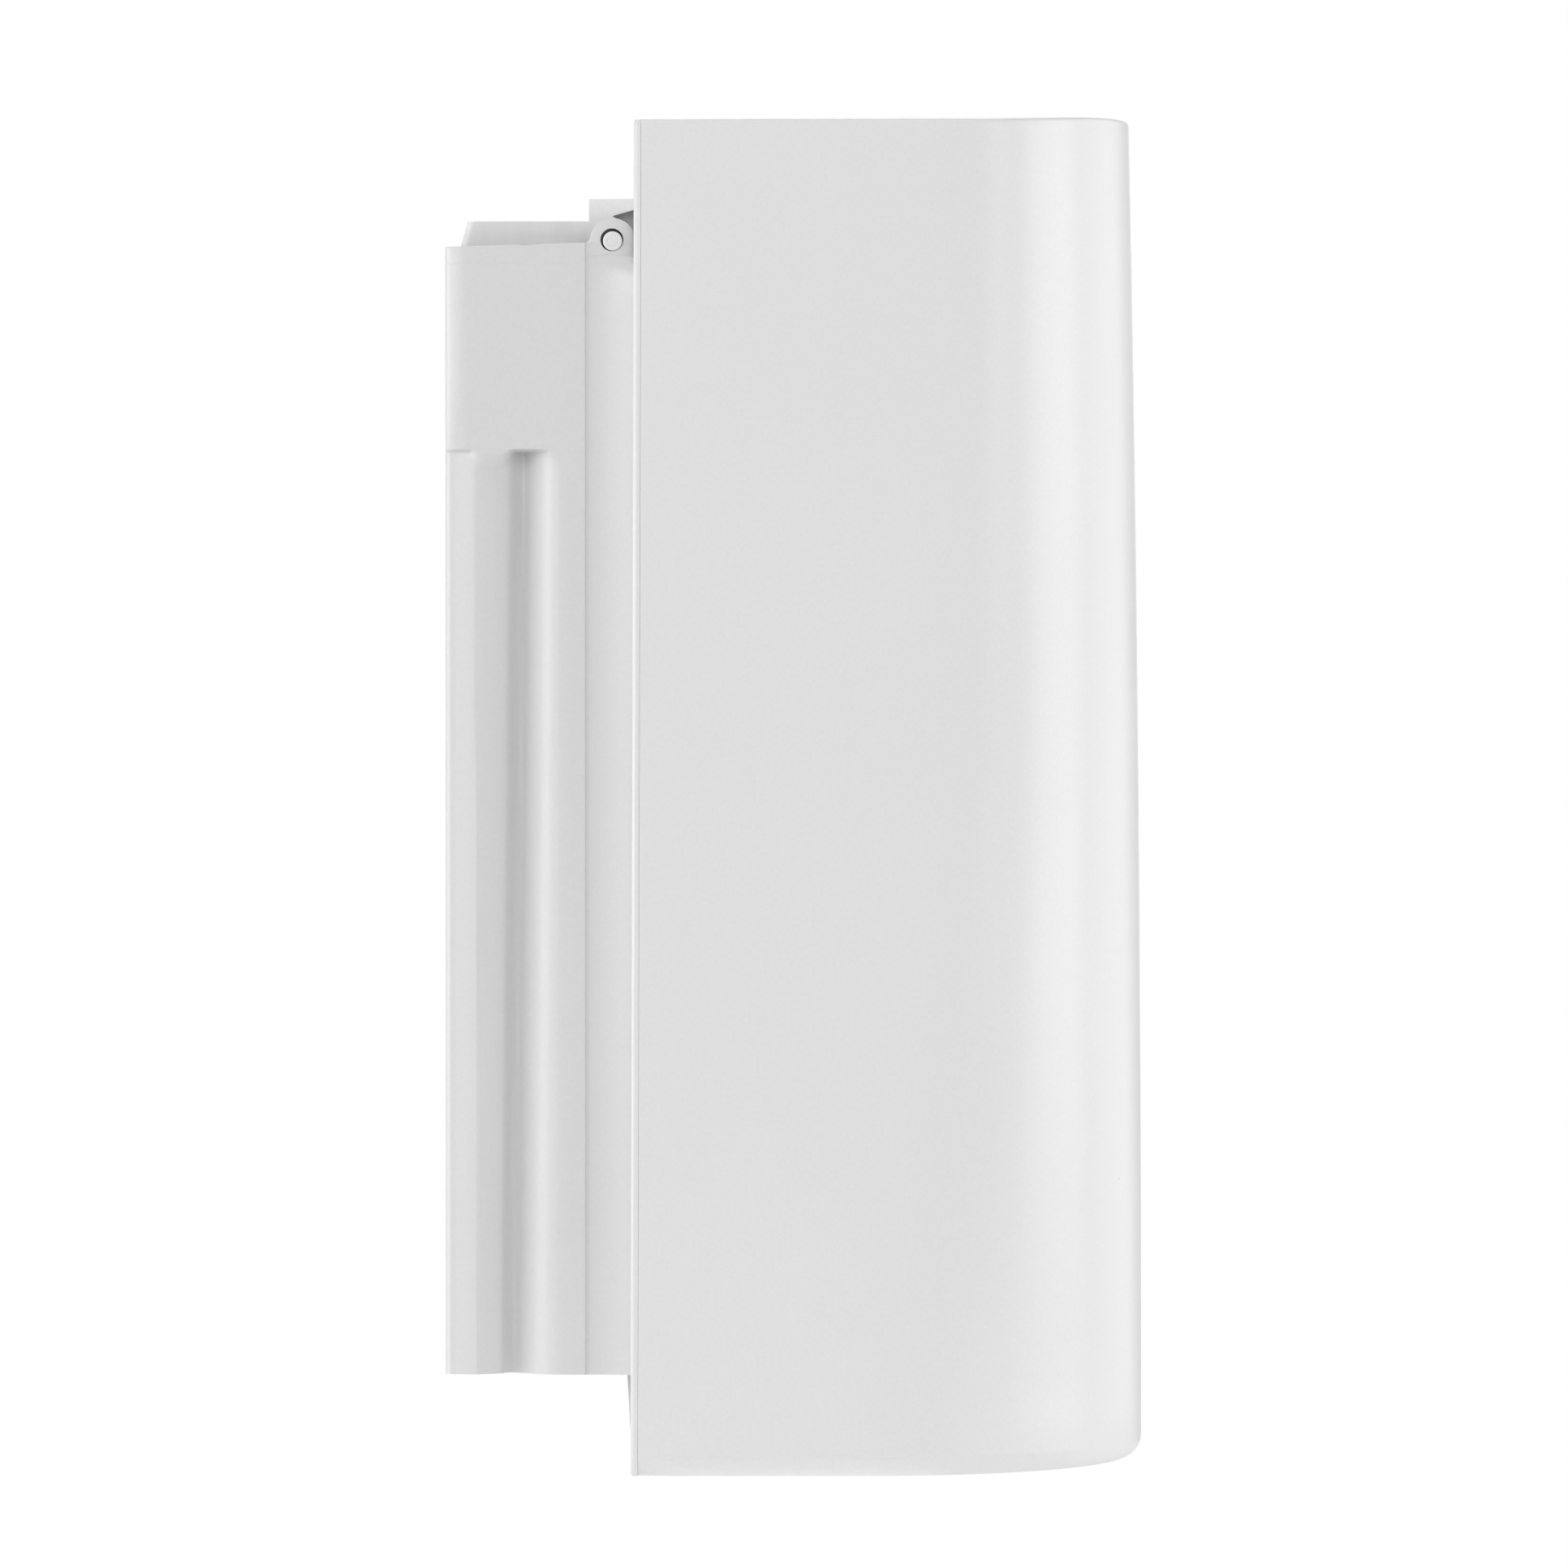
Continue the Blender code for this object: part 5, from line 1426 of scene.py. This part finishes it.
def make_gearbox():
    """A ribbed die casting with four screw bosses, closed by a screwed cover, and the two output bushes."""
    lo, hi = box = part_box("gearbox_housing")
    wall = 0.003
    made = block("gear_case", lo, hi, 0.0026, 4)
    room = block_in("room", box, (-0.005, wall, wall), (-wall, -wall, -wall), 0.001)
    cut(made, room, rods("way", 0.0120, (0.055, 0.065), [OUTPUT_AT], "X", 48))
    panels = []
    for y0, y1 in ((lo.y + 0.004, OUTPUT_Y - 0.018), (OUTPUT_Y + 0.018, hi.y - 0.004)):
        for z0, z1 in ((lo.z + 0.004, OUTPUT_Z - 0.004), (OUTPUT_Z + 0.004, hi.z - 0.004)):
            panels.append(block("panel", (hi.x - 0.0009, y0, z0), (hi.x + 0.001, y1, z1), 0.0004))
    for y, z in grid([lo.y + 0.012 + 0.015 * k for k in range(5)], (lo.z, hi.z)):
        low, high = (lo.x + 0.005, y, z - 0.0009), (hi.x - 0.005, y + 0.010, z + 0.0009)
        panels.append(block("panel", low, high, 0.0004))
    finish_piece(cut(made, *panels), "gearbox_housing")
    lo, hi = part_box("gearbox_cover")
    outline = rounded_rectangle((lo.y, hi.y), (lo.z, hi.z), 0.0026)
    outlines = [outline, circle(OUTPUT_AT, 0.0120, 48), circle(MOTOR_AT, 0.0060, 32)]
    finish_piece(plate("gear_case_cover", outlines, YZ_PLANE, (lo.x, hi.x), 0.0006), "gearbox_cover")
    spots = grid((lo.y + 0.005, hi.y - 0.005), (lo.z + 0.005, hi.z - 0.005))
    screws("gear_case_screw", "gearbox_cover", spots, lo.x, 0.0024, 0.0016, ZINC, "X")
    for node, piece in (("output_bush_inner", "inner_bush"), ("output_bush_outer", "outer_bush")):
        lo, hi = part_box(node)
        outer, chamfer = (hi.z - lo.z) / 2, 0.0005
        near = [(SHAFT_BORE + chamfer, 0.0), (outer - chamfer, 0.0), (outer, chamfer)]
        far = [(outer, chamfer), (outer - chamfer, 0.0), (SHAFT_BORE + chamfer, 0.0), (SHAFT_BORE, chamfer)]
        profile = between(lo.x, hi.x, near, far) + [(SHAFT_BORE, lo.x + chamfer)]
        turned(piece, node, profile, OUTPUT_AT)


def make_motor():
    """Gearhead, drawn can and moulded end cap, each turned, with grooves, vents and brush ports."""
    lo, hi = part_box("motor_gearhead")
    radius = (hi.z - lo.z) / 2
    profile = [(0.0, lo.x), (radius - 0.001, lo.x), (radius, lo.x + 0.001)]
    for x in (0.0045, 0.0125, 0.0205):
        profile += [(radius, x), (radius - 0.0009, x + 0.0004)]
        profile += [(radius - 0.0009, x + 0.0024), (radius, x + 0.0028)]
    profile += [(radius, hi.x - 0.001), (radius - 0.001, hi.x), (0.0, hi.x)]
    turned("planetary_head", "motor_gearhead", profile, MOTOR_AT, steps=64)
    lo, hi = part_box("motor_can")
    radius = (hi.z - lo.z) / 2
    profile = [(0.0, lo.x), (radius - 0.0034, lo.x)]
    profile += [(radius - 0.0022, lo.x + 0.0006), (radius, lo.x + 0.0032)]
    profile += [(radius, -0.0520), (radius - 0.0007, -0.0515), (radius - 0.0007, -0.0490), (radius, -0.0485)]
    profile += [(radius, hi.x - 0.0090), (radius - 0.0007, hi.x - 0.0085), (radius - 0.0007, hi.x - 0.0060)]
    profile += [(radius, hi.x - 0.0055), (radius, hi.x - 0.0024), (radius - 0.0024, hi.x), (0.0, hi.x)]
    can = lathe("motor_drum", profile, MOTOR_AT, steps=80)
    vents = []
    for y, z in circle(MOTOR_AT, radius, 4, math.radians(45.0)):
        low, high = (-0.0625, y - 0.0028, z - 0.0028), (-0.0555, y + 0.0028, z + 0.0028)
        vents.append(block("vent", low, high, 0.0006))
    finish_piece(cut(can, *vents), "motor_can")
    lo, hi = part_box("motor_end_cap")
    radius = (hi.z - lo.z) / 2
    near = [(0.0, 0.0016), (0.0060, 0.0016), (0.0068, 0.0), (0.0096, 0.0), (0.0104, 0.0022)]
    near += [(radius - 0.0042, 0.0022), (radius - 0.0016, 0.0034), (radius, 0.0056)]
    cap_piece = lathe("brush_cap", between(lo.x, hi.x, near, [(radius, 0.0), (0.0, 0.0)]), MOTOR_AT, steps=64)
    spots = circle(MOTOR_AT, 0.0185, 6, math.radians(30.0))
    ports = [rods("port", 0.0034, (lo.x - 0.001, lo.x + 0.0050), [spot], "X", 20) for spot in spots]
    finish_piece(cut(cap_piece, *ports), "motor_end_cap")


def make_motor_mounts():
    """The bracket that the gearhead lies in, and the slot sensor beside it."""
    lo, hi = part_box("motor_bracket")
    outline = [(hi.y, lo.z), (hi.y, hi.z), (-0.060, hi.z), (PINION_Y, hi.z), (PINION_Y, PINION_Z + 0.0325)]
    outline += circle(MOTOR_AT, 0.0323, 30, math.radians(90.0), -math.radians(180.0))[1:-1]
    outline += [(PINION_Y, PINION_Z - 0.0325), (PINION_Y, lo.z)]
    holes = [circle((-0.0345, z), 0.0032, 20) for z in (0.0845, 0.0245)]
    finish_piece(plate("motor_cradle", [outline, *holes], YZ_PLANE, (lo.x, hi.x), 0.0003), "motor_bracket")
    lo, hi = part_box("encoder_sensor")
    made = block("slot_sensor", lo, hi, 0.0006)
    way = block("way", (0.0210, lo.y - 0.005, lo.z - 0.01), (0.0255, -0.0450, hi.z + 0.01))
    windows = [block("window", (x, -0.0485, 0.069), (x + 0.003, -0.0465, 0.071)) for x in (0.0145, 0.0255)]
    finish_piece(cut(made, way, *windows), "encoder_sensor")


# --------------------------------------------------------------------- chassis

BOARD_SPOTS = grid((0.003, 0.050), (-0.136, 0.0165))


def make_chassis():
    """A zinc-plated pan with bent flanges, punched ways and posts for the board."""
    lo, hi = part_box("chassis_plate")
    steel, bend, flange = 0.002, 0.0022, 0.010
    rear = hi.y
    half = [(hi.x, rear - flange), (hi.x, rear - bend)]
    corner = circle((0.0, 0.0), bend, 6, 0.0, math.pi / 2)[1:]
    half += [(hi.x - bend + x, rear - bend + y) for x, y in corner]
    section = half + [(-x, y) for x, y in reversed(half)]
    bm = bmesh.new()
    loft(bm, [[(x, y, z) for x, y in section] for z in (lo.z, hi.z)])
    pan = thicken(new_object("chassis_pan", bm), steel)
    join(pan, rods("posts", 0.0030, (-0.0440, CHASSIS_FRONT_Y + 0.0005), BOARD_SPOTS, "Y", 24))
    through = (rear - 0.004, rear + 0.002)
    ways = [rods("way", 0.0042, through, [(-0.052, z)], "Y", 28) for z in (0.096, -0.060)]
    for x in (-0.040, -0.026, -0.012):
        slot = rounded_rectangle((x - 0.003, x + 0.003), (-0.066, -0.036), 0.0028)
        ways.append(plate("slot", [slot], XZ_PLANE, through))
    finish_piece(cut(pan, *ways), "chassis_plate")
    for number in range(1, 5):
        node = f"chassis_screw_{number}"
        low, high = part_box(node)
        centre = (middle(node).x, middle(node).z)
        screw(f"pan_screw_{number}", node, centre, high.y, (high.x - low.x) / 2, high.y - low.y)


def make_transformer():
    """Laminated core round two taped windings on a moulded bobbin."""
    lo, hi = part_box("transformer_core")
    made = block("laminated_core", lo, hi, 0.0004, 1)
    cuts = []
    for x in (-0.059, -0.031):
        cuts.append(block("window", (x, lo.y - 0.01, lo.z + 0.009), (x + 0.014, hi.y + 0.01, hi.z - 0.009)))
    for k in range(12):
        y = lo.y + 0.0018 + 0.0020 * k
        for z in (lo.z, hi.z):
            cuts.append(block("leaf", (lo.x - 0.001, y, z - 0.0003), (hi.x + 0.001, y + 0.0004, z + 0.0003)))
        for x in (lo.x, hi.x):
            cuts.append(block("leaf", (x - 0.0003, y, lo.z - 0.001), (x + 0.0003, y + 0.0004, hi.z + 0.001)))
    finish_piece(cut(made, *cuts), "transformer_core")
    spots = grid((lo.x + 0.0035, hi.x - 0.0035), (lo.z + 0.0045, hi.z - 0.0045))
    screws("core_screw", "transformer_core", spots, lo.y, 0.0024, 0.0016, ZINC)
    lo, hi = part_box("transformer_coil")
    coil = block("taped_winding", lo, hi, 0.0040, 5)
    grooves = [block("leg_way", (-0.0453, -0.0663, -0.150), (-0.0307, -0.0397, -0.080))]
    for z in (lo.z + 0.0040, (lo.z + hi.z) / 2 - 0.0006, hi.z - 0.0052):
        ring = block("ring", (lo.x - 0.001, lo.y - 0.001, z), (hi.x + 0.001, hi.y + 0.001, z + 0.0012))
        low, high = (lo.x + 0.0006, lo.y + 0.0006, z - 0.001), (hi.x - 0.0006, hi.y - 0.0006, z + 0.0022)
        grooves.append(cut(ring, block("core", low, high, 0.0034, 4)))
    finish_piece(cut(coil, *grooves), "transformer_coil")


def make_board():
    lo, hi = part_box("logic_board")
    outline = rounded_rectangle((lo.x, hi.x), (lo.z, hi.z), 0.0018)
    holes = [circle(spot, 0.0017, 20) for spot in BOARD_SPOTS]
    finish_piece(plate("control_board", [outline, *holes], XZ_PLANE, (lo.y, hi.y), 0.00015, 1), "logic_board")
    screws("board_screw", "logic_board", BOARD_SPOTS, lo.y, 0.0026, 0.0015, ZINC)
    make_small_components(lo.y)
    make_controllers(lo.y)


def make_small_components(face):
    """Resistors and chip capacitors in groups on the board, clear of the radio module."""
    bodies, ends = [], []
    groups = ((0.040, -0.098, 3, 5, 0.0042), (0.010, -0.069, 9, 1, 0.0050), (0.004, -0.020, 5, 2, 0.0040))
    for x0, z0, columns, rows, step in groups:
        pitch = 1.2 if columns > 5 else 1.0
        for column, row in grid(range(columns), range(rows)):
            x, z = x0 + 0.0042 * column * pitch, z0 + step * row
            if not (0.040 < x < 0.063 and -0.0968 < z < -0.0752):
                bodies.append((x, face - 0.0004, z))
                ends += [(x - 0.0009, face - 0.00042, z), (x + 0.0009, face - 0.00042, z)]
    made = bevel(blocks("chip_bodies", bodies, (0.0014, 0.0008, 0.0012)), 0.0001, 1)
    finish_piece(made, "logic_board", LOOKS["black_plastic"])
    pin_row("chip_ends", "logic_board", ends, (0.0005, 0.00086, 0.00126))


def make_controllers(face):
    """Two chips, each with a dot at its first pin and leads on two sides."""
    pins = []
    chips = ((0.016, -0.017, 0.0045, 0.0045), (0.012, -0.0665, 0.0030, 0.0022))
    for number, (x, z, half_x, half_z) in enumerate(chips, 1):
        low, high = (x - half_x, face - 0.0016, z - half_z), (x + half_x, face - 0.0002, z + half_z)
        chip = block(f"controller_{number}", low, high, 0.0002, 1)
        spot = (x - half_x * 0.7, z + half_z * 0.7)
        mark = rods("mark", 0.0005, (face - 0.0018, face - 0.0014), [spot], "Y", 16)
        finish_piece(cut(chip, mark), "logic_board", LOOKS["black_plastic"])
        count = int(half_x / 0.0006)
        for k in range(count):
            place = x - half_x + (k + 0.5) * 2 * half_x / count
            pins += [(place, face - 0.0004, z + side * (half_z + 0.0006)) for side in (-1, 1)]
    pin_row("controller_leads", "logic_board", pins, (0.0004, 0.0006, 0.0014))


def make_relays():
    """Sealed relays: a cover with a vent nib and a moulded step round its base."""
    for node in ("relay_open", "relay_close"):
        lo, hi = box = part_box(node)
        cover = block_in(node + "_cover", box, (0.0004, 0.0, 0.0004), (-0.0004, -0.0010, -0.0004), 0.0010, 3)
        base = block("base", (lo.x, hi.y - 0.0028, lo.z), hi, 0.0003)
        low = (lo.x + 0.0030, lo.y - 0.001, lo.z + 0.0030)
        recess = block("recess", low, (hi.x - 0.0030, lo.y + 0.0003, hi.z - 0.0030), 0.0002, 1)
        nib = rods("nib", 0.0008, (lo.y + 0.0001, lo.y + 0.0010), [(hi.x - 0.0045, hi.z - 0.0045)], "Y", 16)
        finish_piece(join(cut(join(cover, base), recess), nib), node)


def make_radio_and_capacitor():
    lo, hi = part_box("radio_module")
    can = block("radio_shield", lo, hi, 0.0007, 3)
    spots = grid([lo.x + 0.004 + 0.004 * k for k in range(6)], [lo.z + 0.004 + 0.004 * k for k in range(5)])
    holes = rods("holes", 0.0007, (lo.y - 0.001, lo.y + 0.0006), spots, "Y", 12)
    finish_piece(cut(can, holes), "radio_module")
    lo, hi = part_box("supply_capacitor")
    radius = (hi.x - lo.x) / 2
    centre = (middle("supply_capacitor").x, middle("supply_capacitor").z)
    near = [(0.0, 0.0007), (radius * 0.66, 0.0007), (radius * 0.76, 0.0001)]
    near += [(radius * 0.92, 0.0), (radius, 0.0009)]
    far = [(radius, 0.0060), (radius - 0.0009, 0.0052), (radius - 0.0009, 0.0044), (radius, 0.0036)]
    far += [(radius, 0.0008), (radius - 0.0008, 0.0), (0.0, 0.0)]
    sleeve = lathe("capacitor_sleeve", between(lo.y, hi.y, near, far), centre, "Y")
    reach, half_slot = radius * 0.55, 0.00025
    vents = []
    for half_x, half_z in ((reach, half_slot), (half_slot, reach)):
        low = (centre[0] - half_x, lo.y - 0.001, centre[1] - half_z)
        vents.append(block("vent", low, (centre[0] + half_x, lo.y + 0.0010, centre[1] + half_z)))
    finish_piece(cut(sleeve, *vents), "supply_capacitor")


def make_connectors():
    """The motor's shrouded connector and the low-voltage terminals."""
    lo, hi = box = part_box("motor_connector")
    shroud = block("motor_header", lo, hi, 0.0004)
    room = block_in("room", box, (0.0010, -0.001, 0.0010), (-0.0010, -0.0020, -0.0010))
    low, high = (lo.x + 0.0060, lo.y - 0.001, lo.z - 0.001), (hi.x - 0.0060, lo.y + 0.0040, lo.z + 0.0020)
    key = block("key", low, high)
    finish_piece(cut(shroud, room, key), "motor_connector")
    lo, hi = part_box("terminal_block")
    made = block("terminal_row", lo, hi, 0.0004)
    spots = [(lo.x + 0.0040, lo.z + (k + 0.5) * (hi.z - lo.z) / 6) for k in range(6)]
    cuts = []
    for z in (spot[1] for spot in spots):
        low, high = (hi.x - 0.0035, lo.y + 0.0040, z - 0.0016), (hi.x + 0.001, hi.y - 0.0030, z + 0.0016)
        cuts.append(block("wire_way", low, high))
    cuts.append(rods("wells", 0.0019, (lo.y - 0.001, lo.y + 0.0036), spots, "Y", 20))
    finish_piece(cut(made, *cuts), "terminal_block")
    screws("terminal_screw", "terminal_block", spots, lo.y + 0.0038, 0.0017, 0.0014, TIN)


def make_heat_sink():
    lo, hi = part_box("heat_sink")
    root, pitch, thick, chamfer = hi.y - 0.004, 0.008, 0.0020, 0.0006
    fins = [(lo.x, hi.y)]
    for k in range(6):
        x = lo.x + pitch * k
        fins += [(x, lo.y + chamfer), (x + chamfer, lo.y), (x + 0.0014, lo.y), (x + thick, lo.y + chamfer)]
        fins += [(x + thick, root), (x + pitch, root)]
    fins = fins[:-2] + [(hi.x, hi.y)]
    finish_piece(plate("finned_sink", [fins], XY_PLANE, (lo.z, hi.z), 0.0002, 1), "heat_sink")


def make_controls():
    """The bezel with round recesses, dished keys with a raised mark each, and their switches."""
    lo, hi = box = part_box("control_bezel")
    places = {node: middle(node) for node in ("up_button", "learn_button", "down_button")}
    made = block("key_bezel", lo, hi, 0.0018, 4)
    wall = 0.002
    room = block_in("room", box, (wall, wall, wall), (-wall, 0.005, -wall), 0.0008)
    spots = [(place.x, place.z) for place in places.values()]
    cut(made, room, rods("holes", 0.0054, (lo.y - 0.002, lo.y + 0.004), spots, "Y", 48))
    above, below = lo.y - 0.0005, lo.y + 0.0004
    profile = [(0.0064, above), (0.0086, above), (0.0080, below), (0.0064, below)]
    finish_piece(cut(made, *[lathe("ring", profile, spot, "Y", 48) for spot in spots]), "control_bezel")
    for node, spot in zip(places, spots):
        make_key(node, spot)
    for node in ("up_switch", "learn_switch", "down_switch"):
        lo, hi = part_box(node)
        body = block(node + "_tact", (lo.x, lo.y + 0.0022, lo.z), hi, 0.0004)
        centre = (middle(node).x, middle(node).z)
        foot = lo.y + 0.0030
        profile = [(0.0, lo.y), (0.0014, lo.y), (0.0017, lo.y + 0.0003), (0.0017, foot), (0.0, foot)]
        finish_piece(join(body, lathe("plunger", profile, centre, "Y", 28)), node)


def make_key(node, centre):
    """A dished key with a flange, and a raised mark: an arrow up or down, or a ring on the learn key."""
    lo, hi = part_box(node)
    radius, flange = 0.005, (hi.x - lo.x) / 2
    near = [(radius * 0.84 * k / 6, 0.0006 * (1.0 - (k / 6) ** 2)) for k in range(7)]
    near += [(radius * 0.95, 0.0002), (radius, 0.0008)]
    far = [(radius, 0.0018), (flange, 0.0018), (flange, 0.0003), (flange - 0.0003, 0.0), (0.0, 0.0)]
    key = lathe(node + "_cap", between(lo.y, hi.y, near, far), centre, "Y")
    turn = {"up_button": math.pi / 2, "down_button": -math.pi / 2}.get(node)
    low, high = lo.y + 0.0001, lo.y + 0.0010
    if turn is None:
        mark = lathe("mark", [(0.0010, low), (0.0015, low), (0.0015, high), (0.0010, high)], centre, "Y", 32)
    else:
        mark = plate("mark", [circle(centre, 0.0022, 3, turn)], XZ_PLANE, (low, high), 0.0002)
    finish_piece(join(key, mark), node)


def make_release():
    """The release lever, with a waisted arm and an eye at its foot, on a headed pivot."""
    lo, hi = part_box("release_lever")
    centre, foot = (LEVER_Y, LEVER_Z), (LEVER_Y, LEVER_Z - 0.105)
    outline = circle(centre, 0.0075, 25, 0.0, math.pi) + circle(foot, 0.0065, 25, math.pi, math.pi)
    holes = [circle(centre, 0.0033, 32), circle(foot, 0.0030, 28)]
    across, length = (LEVER_Y - 0.0018, LEVER_Y + 0.0018), (LEVER_Z - 0.085, LEVER_Z - 0.018)
    waist = rounded_rectangle(across, length, 0.0017)
    lever = plate("pull_lever", [outline, *holes, waist], YZ_PLANE, (lo.x, hi.x), 0.0005)
    finish_piece(lever, "release_lever")
    lo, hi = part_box("release_pivot")
    radius, head = 0.0030, (hi.z - lo.z) / 2
    far = [(radius, 0.0017), (head - 0.0002, 0.0017), (head, 0.0014)]
    far += [(head * 0.86, 0.0005), (head * 0.50, 0.0001), (0.0, 0.0)]
    profile = between(lo.x, hi.x, [(0.0, 0.0), (radius, 0.0)], far)
    turned("pivot_rivet", "release_pivot", profile, centre)


def make_lead():
    """The motor's two-core lead, from its end cap to the header on the board."""
    route = [
        (-0.056, -0.082, 0.0272),
        (-0.056, -0.081, 0.0190),
        (-0.050, -0.078, 0.0080),
        (-0.036, -0.072, 0.0060),
        (-0.018, -0.064, 0.0120),
        (-0.002, -0.057, 0.0180),
        (0.008, -0.0525, 0.0195),
        (0.0135, -0.0515, 0.0160),
        (0.014, -0.0515, 0.0104),
    ]
    points = smooth_route(route, 6)
    lead = tube("motor_flex", points, 0.0022, 14)
    finish_piece(lead, "motor_lead")


# ---------------------------------------------------------------------- studio


def dress_nodes():
    """Every CAD node still shown takes the finish of its slot."""
    for name, node in frame["nodes"].items():
        for holder in node.material_slots:
            holder.link = "OBJECT"
            holder.material = LOOKS[SLOT[name]]


def aim(thing, target):
    thing.rotation_euler = (Vector(target) - thing.location).to_track_quat("-Z", "Y").to_euler()


def make_camera():
    lens = bpy.data.cameras.new("camera")
    lens.sensor_width = SENSOR
    lens.lens = SENSOR * (CAMERA_AIM.x - CAMERA_AT.x) / VIEW_WIDTH
    lens.clip_end = 50.0
    camera = bpy.data.objects.new("camera", lens)
    bpy.context.scene.collection.objects.link(camera)
    camera.location = CAMERA_AT
    aim(camera, CAMERA_AIM)
    bpy.context.scene.camera = camera


def softbox(name, place, size, power):
    light = bpy.data.lights.new(name, "AREA")
    light.shape = "RECTANGLE"
    light.size, light.size_y = size
    light.energy = power
    made = bpy.data.objects.new(name, light)
    bpy.context.scene.collection.objects.link(made)
    made.location = place
    aim(made, STUDIO_CENTRE)


def make_world():
    """White where the camera sees past the object; a soft grey room for its light and reflections."""
    world = bpy.data.worlds.new("studio")
    bpy.context.scene.world = world
    world.use_nodes = True
    tree = world.node_tree
    room = tree.nodes["Background"]
    room.inputs["Color"].default_value = (1.0, 1.0, 1.0, 1.0)
    room.inputs["Strength"].default_value = ROOM_LIGHT
    backdrop = tree.nodes.new("ShaderNodeBackground")
    backdrop.inputs["Color"].default_value = (1.0, 1.0, 1.0, 1.0)
    seen = tree.nodes.new("ShaderNodeLightPath")
    choose = tree.nodes.new("ShaderNodeMixShader")
    tree.links.new(seen.outputs["Is Camera Ray"], choose.inputs["Fac"])
    tree.links.new(room.outputs["Background"], choose.inputs[1])
    tree.links.new(backdrop.outputs["Background"], choose.inputs[2])
    tree.links.new(choose.outputs["Shader"], tree.nodes["World Output"].inputs["Surface"])


def make_studio():
    make_world()
    bm = bmesh.new()
    bmesh.ops.create_circle(bm, cap_ends=True, segments=96, radius=FLOOR_RADIUS)
    bmesh.ops.translate(bm, vec=(0.0, -0.1, FLOOR_Z), verts=bm.verts)
    floor = new_object("floor", bm)
    floor.data.materials.append(studio_floor())
    for name, place, size, power in SOFTBOXES:
        softbox(name + "_softbox", place, size, power)
    view = bpy.context.scene.view_settings
    view.view_transform = "Standard"
    view.look = "None"


make_hood()
make_back_frame()
make_hinge_pins()
make_channel()
make_liner()
make_end_plate()
make_grommet()
make_mains_wiring()
make_lamp()
make_lock()
make_gears()
make_output()
make_collar()
make_encoder_wheel()
make_gearbox()
make_motor()
make_motor_mounts()
make_chassis()
make_transformer()
make_board()
make_relays()
make_radio_and_capacitor()
make_connectors()
make_heat_sink()
make_controls()
make_release()
make_lead()
dress_nodes()
make_studio()
make_camera()
